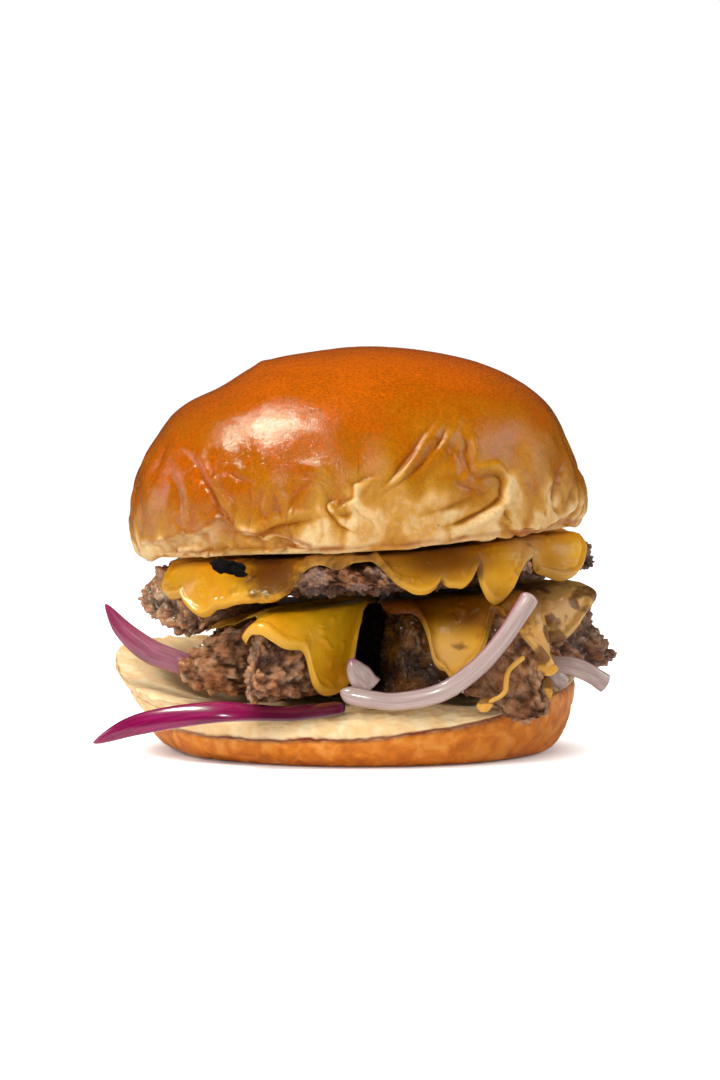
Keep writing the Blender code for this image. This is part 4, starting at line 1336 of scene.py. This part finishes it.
def build_patty(name, shape, node, material, marks_for):
    """A patty whose rounded edge is a mass of crumbs, pressed in from its smooth envelope."""
    angle = front_angles(PATTY_COLUMNS)
    turns = np.linspace(PATTY_EDGE_TURN, -PATTY_EDGE_TURN, PATTY_EDGE_ROWS)
    rings = [face_ring(shape, angle, share, "top") for share in PATTY_FACE_SHARES]
    rings += [patty_ring(shape, angle, turn) for turn in turns]
    rings += [face_ring(shape, angle, share, "bottom") for share in PATTY_FACE_SHARES[::-1]]
    rings = np.array(rings)
    marks = marks_for(rings)
    juice = marks["juice"]
    depth, tones = crumb_relief(rings)
    most = 0.8 * sum(deep for _, deep, _ in CRUMB_LAYERS)
    # Painted shade in the crevices between crumbs, less under juice
    marks["pit"] = np.clip(depth / most, 0, 1) * (1 - 0.6 * juice)
    depth = depth * (1 - 0.45 * juice) + 0.0011 * juice * (1 + soft_noise(rings, 0.006, 96, 2))
    points = rings - outward(rings) * depth[..., None]
    skin_piece(name, points, material, node, "meat", tone=tones, **marks)


def hang_round(angle, hangs):
    """A smooth curve through the hangs, then the most of h(angle + t) - d (1 - sqrt(1 - (t/w)^2))."""
    around = [*hangs[-2:], *hangs, *hangs[:2]]
    turns = np.array([place for place, _ in around], float)
    turns[:2] -= 360
    turns[-2:] += 360
    knots = np.stack([turns, [reach for _, reach in around]], axis=-1)
    places, reaches = curve_through(knots, 12 * len(around)).T
    width, deep = DRIP_TIP
    hang = np.full(angle.shape, -99.0)
    for turn in np.linspace(-width, width, 13):
        shifted = np.interp((angle + turn + 180) % 360 - 180, places, reaches)
        hang = np.maximum(hang, shifted - deep * (1 - np.sqrt(1 - (turn / width) ** 2)))
    return hang / 1000 + 0.0003 * soft_noise(placed(angle, 0.05, 0.0), 0.003, 7, 2)


def cheese_skin(shape, angle, hangs):
    """Base rings of a slice: flat on top, over the edge, then straight down; fall shares; drop."""
    drop = hang_round(angle, hangs)
    short = np.minimum(drop, 0)
    drop = np.maximum(drop, CHEESE_LEAST_HANG)
    turns = np.linspace(CHEESE_EDGE_TURN, -CHEESE_EDGE_TURN, 60)
    edge = np.array([patty_ring(shape, angle, turn) for turn in turns])
    centre = np.array((*shape["centre"], 0.0))
    reach = np.maximum.accumulate(np.linalg.norm((edge - centre)[..., :2], axis=-1), axis=0)
    fallen = np.maximum.accumulate(edge[0, :, 2] - edge[..., 2], axis=0)
    base = [face_ring(shape, angle, share, "top") for share in CHEESE_FACE_SHARES]
    shares = [0.0] * len(base)
    for share in np.linspace(0, 1, CHEESE_ROWS) ** 1.25:
        radius = np.array([np.interp(drop[i] * share, fallen[:, i], reach[:, i]) for i in range(len(angle))])
        ring = placed(angle, radius + short * (1 + CHEESE_SPREAD * (1 - share)), 0.0, shape["centre"])
        above = np.where(short < 0, shape["top"](ring[:, 0], ring[:, 1]), edge[0, :, 2])
        ring[:, 2] = above - drop * share
        base.append(ring)
        shares.append(share)
    return np.array(base), np.array(shares), drop


def build_cheese(name, shape, node, hangs, material, marks_for):
    """A melted slice: base rings thickened outwards, with a bead near the lower edge, then closed."""
    angle = front_angles(CHEESE_COLUMNS)
    base, shares, drop = cheese_skin(shape, angle, hangs)
    normal = outward(base)
    normal[: len(CHEESE_FACE_SHARES)] = (0, 0, 1)
    share = np.broadcast_to(shares[:, None], base.shape[:2])
    left = drop * (1 - share)
    bead = bell(left - 0.0014, 0.0013)
    end = np.sqrt(np.clip(1 - (1 - np.minimum(left, 0.0011) / 0.0011) ** 2, 0, 1))
    follow = crumb_relief(base)[0] * 0.50
    thick = CHEESE_THICKNESS * (0.8 + 0.35 * bead * smooth_step(drop / 0.006))
    thick = thick + 0.00030 * soft_noise(base, 0.005, 19, 2)
    thick = np.maximum(thick - follow * (1 - bead), 0.00045) * end + 0.00008
    marks = marks_for(base, share, left)
    inner = base + normal * 0.0001
    outer = inner + normal * thick[..., None]
    rings = np.concatenate([outer, inner[::-1]])
    marks = {mark: np.concatenate([values, values[::-1]]) for mark, values in marks.items()}
    skin_piece(name, rings, material, node, "cheese", **marks)


def build_puddle(name, middle, bulge, lean, outline, material):
    """A drop pressed flat behind: an outline shrunk ring by ring, bulging sqrt(1 - share^2), leaning."""
    turn = np.arange(72) * 360 / 72
    places, reaches = np.array(outline).T
    turned = [np.interp(turn + by, places, reaches, period=360) for by in (-8, -4, 0, 4, 8)]
    reach = np.mean(turned, axis=0) / 1000
    front = np.sin(np.radians(np.linspace(4, 90, 16)))
    share = np.concatenate([front, front[::-1][1:]])[:, None]
    behind = -0.35 * bulge * np.sqrt(1 - front[::-1][1:] ** 2)
    depth = np.concatenate([bulge * np.sqrt(1 - front**2), behind])[:, None]
    across = share * reach * np.cos(np.radians(turn))
    up = share * reach * np.sin(np.radians(turn))
    rings = np.stack([across, -depth + lean * up, np.broadcast_to(up, across.shape)], axis=-1)
    rings = rings + np.array(middle)
    rings = rings + (0.00022 * soft_noise(rings, 0.0022, 29, 2))[..., None] * np.array((0.3, -1.0, 0.3))
    thin = 0.3 + 0.4 * soft_noise(rings, 0.003, 30, 2) + 0.9 * smooth_step((up / reach.max() - 0.05) / 0.4)
    marks = {"thin": np.clip(thin, 0, 1), "edge": share**6, "pale": 0.3, "deep": 0.0}
    skin_piece(name, rings, material, None, "cheese", **marks)


def build_string(material):
    """A thin string of cheese from the dribble over the right front lump: a narrow oval along a curve."""
    rings, _ = onion_strip(**CHEESE_STRING, rows=60, around=24)
    skin_piece("cheese_string", rings, material, None, "cheese", thin=0.2, edge=0.6, pale=0.3, deep=0.0)


def spot(x, z, middle, size):
    """exp(-(distance / size) squared) about a place seen from the front, in mm."""
    return np.exp(-(((x - middle[0]) / size[0]) ** 2) - (((z - middle[1]) / size[1]) ** 2))


def spots(x, z, places):
    """The sum of spots, each a strength, a middle and a size."""
    return sum(strength * spot(x, z, middle, size) for strength, middle, size in places)


def upper_meat_marks(rings):
    """Dark sear at the right end, painted shade along the underside, darker in the middle front, and a milky
    film on the front.
    """
    x, z = rings[..., 0] * 1000, rings[..., 2] * 1000
    below = smooth_step((upper_top(rings[..., 0], rings[..., 1]) - rings[..., 2] - 0.005) / 0.004)
    # Painted shade along the underside, where the layers meet; the right end is darker sear
    seared = 0.75 * smooth_step((x - 46) / 8) + 0.85 * below * smooth_step((x + 40) / 12)
    # Darker in the middle front
    seared = np.clip(seared + 0.35 * spot(x, z, (-3, 44), (18, 7)), 0, 0.9)
    film = smooth_step((soft_noise(rings, 0.005, 51, 3) + 0.05) / 0.35)
    film = film * spot(x, z, (-3, 45), (15, 5)) * (rings[..., 1] < 0)
    return {"seared": seared, "juice": 0.0 * x, "milk": 0.7 * film, "void": 0.0}


def lower_meat_marks(rings):
    """Juice over the set-back middle, painted black shade in the gap beside it, painted shade between the
    left lobes, dark sear at the right end.
    """
    x, z = rings[..., 0] * 1000, rings[..., 2] * 1000
    front = rings[..., 1] < -0.01
    juice = 1.8 * spot(x, z, (14, 27), (16, 13)) * front
    # Painted shade: near black in the deep gap left of the set-back middle
    void = 1.6 * smooth_step((rings[..., 1] + 0.040) / 0.008) * np.exp(-(((x + 0.5) / 5.5) ** 4)) * front
    # Painted shade in the crease between the left lobes; the right end is darker sear
    seared = np.clip(0.45 * smooth_step((x - 44) / 12) + 0.6 * spot(x, z, (-25, 29), (5, 4)) * front, 0, 0.8)
    # Darker at the foot of the right front lump
    seared = np.maximum(seared, 0.35 * spot(x, z, (36, 13), (10, 6)) * front)
    return {"seared": seared, "juice": np.clip(juice, 0, 1), "milk": 0.0 * x, "void": np.clip(void, 0, 1)}


def upper_cheese_marks(base, share, left):
    """Thin over the middle front with a milky film above, painted amber shade under the crown, paler beads
    with painted light.
    """
    x, z = base[..., 0] * 1000, base[..., 2] * 1000
    front = base[..., 1] < 0
    thin = front * spots(x, z, UPPER_THIN_SPOTS) + 0.35 * smooth_step(soft_noise(base, 0.009, 41, 2) - 0.1)
    film = front * spot(x, z, (-4, 49.5), (11, 3.0))
    thin = thin * (1 - 0.8 * film)
    # Paler bead near the lower edge, with painted light on it
    edge = bell(left, 0.0022) * (share > 0)
    # Painted shade under the crown's rim and in further spots
    under_crown = smooth_step((z - 1000 * cut_plane(base[..., 0], base[..., 1]) + 11.0) / 6)
    shade = under_crown * np.clip(spots(x, z, UPPER_CROWN_SHADE_SPOTS), 0, 0.9) + spots(x, z, UPPER_SHADE_SPOTS)
    shade = front * np.clip(shade, 0, 0.9)
    pale = 0.75 * front * spot(x, z, (40, 50), (3.5, 4)) + 0.8 * film
    pale = pale + 0.2 * smooth_step(soft_noise(base, 0.007, 42, 2) - 0.2)
    return {"thin": np.clip(thin, 0, 1), "edge": edge, "pale": np.clip(pale, 0, 1), "deep": shade}


def lower_cheese_marks(base, share, left):
    """Brown and thin in the middle with painted shade over its upper part, paler on its drip, and tan and
    worn at the right end.
    """
    x, z = base[..., 0] * 1000, base[..., 2] * 1000
    front = base[..., 1] < 0
    thin = front * spots(x, z, LOWER_THIN_SPOTS) + 0.3 * smooth_step(soft_noise(base, 0.008, 43, 2) - 0.1)
    worn = smooth_step((x - 36) / 6) * smooth_step((soft_noise(base, 0.006, 44, 3) + 0.1) / 0.4)
    thin = thin + 0.8 * worn
    # Paler bead near the lower edge, with painted light on it
    edge = bell(left, 0.0018) * (share > 0)
    # Painted shade over the middle's upper part, below the patty above, and at the right
    shade_above_drip = smooth_step((x - 2) / 4) * smooth_step((40 - x) / 14) * smooth_step((z - 27.0) / 7.5)
    shade = front * np.clip(0.92 * shade_above_drip + 0.8 * spot(x, z, (40, 38), (8, 4)), 0, 0.92)
    pale = np.maximum(0.6 * smooth_step((x - 30) / 12), 0.5 * front * spot(x, z, (21, 25.5), (7, 5)))
    return {"thin": np.clip(thin, 0, 1), "edge": edge, "pale": pale, "deep": shade}


# Onions and flake


def onion_strip(along, width, thickness, faces, points, taper, rows=140, around=44):
    """A bowed superellipse carried along a curve, narrowing to its first end: rings and marks."""
    line = curve_through(along, rows)
    tangent = np.gradient(line, axis=0)
    tangent /= np.linalg.norm(tangent, axis=1, keepdims=True)
    across = np.cross(tangent, curve_through(faces, rows))
    across /= np.linalg.norm(across, axis=1, keepdims=True)
    broad = np.cross(across, tangent)
    share = np.linspace(0, 1, rows)
    narrow = 1 - points * (1 - np.minimum(share / taper, 1)) ** 2
    ends = np.minimum(np.minimum(share, 1 - share) * 30, 1)
    round_end = np.sqrt(1 - (1 - ends) ** 2) * 0.75 + 0.25
    turn = np.arange(around) * 2 * np.pi / around
    u = np.sign(np.cos(turn)) * np.abs(np.cos(turn)) ** ONION_ROUNDNESS
    v = np.sign(np.sin(turn)) * np.abs(np.sin(turn)) ** ONION_ROUNDNESS
    waver = 1 + 0.03 * np.sin(share * 13 + 1)
    half_width = width / 2 * narrow * round_end * waver
    half_thick = thickness / 2 * (0.4 + 0.6 * narrow) * round_end
    bow = ONION_BOW * narrow
    rings = line[:, None] + half_width[:, None, None] * u[None, :, None] * across[:, None]
    out = half_thick[:, None] * v[None] + bow[:, None] * (1 - u[None] ** 2)
    rings = rings + out[..., None] * broad[:, None]
    marks = {
        "skin": np.broadcast_to(smooth_step((v + 0.35) / 0.7)[None], (rows, around)),
        "along": np.broadcast_to(share[:, None], (rows, around)),
        "across": np.broadcast_to(u[None], (rows, around)),
        "shade": np.zeros((rows, around)),
    }
    return rings, marks


def build_onions(materials):
    """The slices: two show their purple outer skin, the others their pale flesh with a purple edge."""
    for name, shape in ONIONS.items():
        rings, marks = onion_strip(**shape)
        slot = "onion_skin" if name in SKINNED_ONIONS else "onion_flesh"
        if slot == "onion_flesh":
            marks["skin"] = 0.7 * smooth_step((-marks["across"] - 0.75) / 0.2)
        if name == "onion_peak":
            marks["skin"] = marks["skin"] * (0.95 - 0.25 * smooth_step(marks["along"] / 0.7))
        if name == "onion_long":
            marks["shade"] = 0.8 * smooth_step((rings[..., 0] + 0.029) / 0.008)
        if name == "onion_stub":
            marks["skin"] = np.maximum(marks["skin"], 0.8 * smooth_step((0.22 - marks["along"]) / 0.2))
        skin_piece(name + "_slice", rings, materials[slot], name, slot, **marks)


def build_flake(material):
    """A thin dark flake: an ellipsoid with a three-lobed ragged edge and a crumpled face."""
    width, thickness, height = CHAR_FLAKE_SIZE
    turn = np.arange(60) * 2 * np.pi / 60
    rise = np.radians(np.linspace(84, -84, 40))[:, None]
    radial = np.cos(rise) * (1 + 0.25 * np.sin(3 * turn + 4 * rise))
    x = width * radial * np.cos(turn) - CHAR_FLAKE_SKEW * np.sin(rise)
    y = thickness * radial * np.sin(turn)
    z = np.broadcast_to(height * np.sin(rise), x.shape)
    rings = np.stack([x, y, z], axis=-1) + np.array(CHAR_FLAKE_MIDDLE)
    crumple = np.stack([soft_noise(rings, 0.0016, seed, 3) for seed in (71, 72, 73)], axis=-1)
    rings = rings + CHAR_FLAKE_CRUMPLE * crumple
    skin_piece("char_crumple", rings, material, "char_flake", "char")


# Stage


def build_floor():
    """A wide white floor that also glows for the camera, less under the burger."""
    bpy.ops.mesh.primitive_plane_add(size=FLOOR_SIZE)
    floor = bpy.context.object
    floor.name = "floor"
    material, tree, shader = new_material(
        "floor", base_color=FLOOR_COLOUR, roughness=0.9, specular_ior_level=0.1, emission_strength=1.0
    )
    seen = add(tree, "ShaderNodeLightPath").outputs["Is Camera Ray"]
    place = add(tree, "ShaderNodeTexCoord").outputs["Object"]
    away = add(tree, "ShaderNodeVectorMath", {0: place}, operation="LENGTH").outputs["Value"]
    glow = spread_of(tree, away, *FLOOR_GLOW_REACH, FLOOR_GLOW_NEAR, FLOOR_GLOW_FAR)
    tree.links.new(math_of(tree, "MULTIPLY", seen, glow), shader.inputs["Emission Color"])
    floor.data.materials.append(material)


def build_world():
    """A white world: bright for the camera, dim as light, and of its own strength in reflections."""
    world = bpy.data.worlds.new("studio")
    world.use_nodes = True
    tree = world.node_tree
    background = tree.nodes["Background"]
    background.inputs["Color"].default_value = (*WHITE, 1.0)
    path = add(tree, "ShaderNodeLightPath").outputs
    strength = spread_of(tree, path["Is Glossy Ray"], 0.0, 1.0, WORLD_LIGHT, WORLD_MIRRORED)
    inputs = {"Value": path["Is Camera Ray"], "To Min": strength, "To Max": WORLD_SEEN}
    strength = add(tree, "ShaderNodeMapRange", inputs)
    tree.links.new(strength.outputs[0], background.inputs["Strength"])
    bpy.context.scene.world = world


def build_lamps():
    """The soft boxes, each facing the burger from its own direction."""
    for name, (direction, away, size, power, tint, seen_in) in SOFTBOXES.items():
        light = bpy.data.lights.new(name, "AREA")
        light.shape = "ELLIPSE"
        light.size, light.size_y = size
        light.energy = power
        light.color = tint
        lamp = bpy.data.objects.new(name, light)
        towards = Vector(direction).normalized()
        lamp.location = CAMERA_TARGET + towards * away
        lamp.rotation_euler = towards.to_track_quat("Z", "Y").to_euler()
        lamp.visible_glossy = seen_in != "diffuse"
        lamp.visible_diffuse = seen_in != "glossy"
        bpy.context.scene.collection.objects.link(lamp)


def build_camera():
    """The camera at the photo's low angle, looking along +Y."""
    camera = bpy.data.objects.new("camera", bpy.data.cameras.new("camera"))
    camera.data.lens = CAMERA_LENS
    camera.data.clip_start = CAMERA_NEAREST
    rise = math.radians(CAMERA_HEIGHT_ANGLE)
    camera.location = CAMERA_TARGET + Vector((0, -math.cos(rise), math.sin(rise))) * CAMERA_DISTANCE
    camera.rotation_euler = (math.pi / 2 - rise, 0, 0)
    bpy.context.scene.collection.objects.link(camera)
    bpy.context.scene.camera = camera
    bpy.context.scene.view_settings.view_transform = "Standard"


def main():
    """All pieces, then the stage."""
    groups = {"patches": patches_group(), "grain": grain_group(), "specks": specks_group()}
    materials = {
        "onion_skin": onion_material("onion_skin", ONION_SKIN_PURPLE, 5.0),
        "onion_flesh": onion_material("onion_flesh", ONION_EDGE_PURPLE, 3.0),
    }
    meat = meat_material(groups)
    cheese = cheese_material(groups)
    build_crown(crust_material(groups))
    build_heel(heel_material(groups))
    build_patty("patty_upper_crumbs", UPPER_PATTY, "patty_upper", meat, upper_meat_marks)
    build_patty("patty_lower_crumbs", LOWER_PATTY, "patty_lower", meat, lower_meat_marks)
    build_cheese("cheese_upper_melt", UPPER_PATTY, "cheese_upper", UPPER_HANG_MM, cheese, upper_cheese_marks)
    build_cheese("cheese_lower_melt", LOWER_PATTY, "cheese_lower", LOWER_HANG_MM, cheese, lower_cheese_marks)
    for name, shape in CHEESE_PUDDLES.items():
        build_puddle("cheese_" + name, material=cheese, **shape)
    build_string(cheese)
    build_onions(materials)
    build_flake(char_material(groups))
    build_floor()
    build_world()
    build_lamps()
    build_camera()


main()
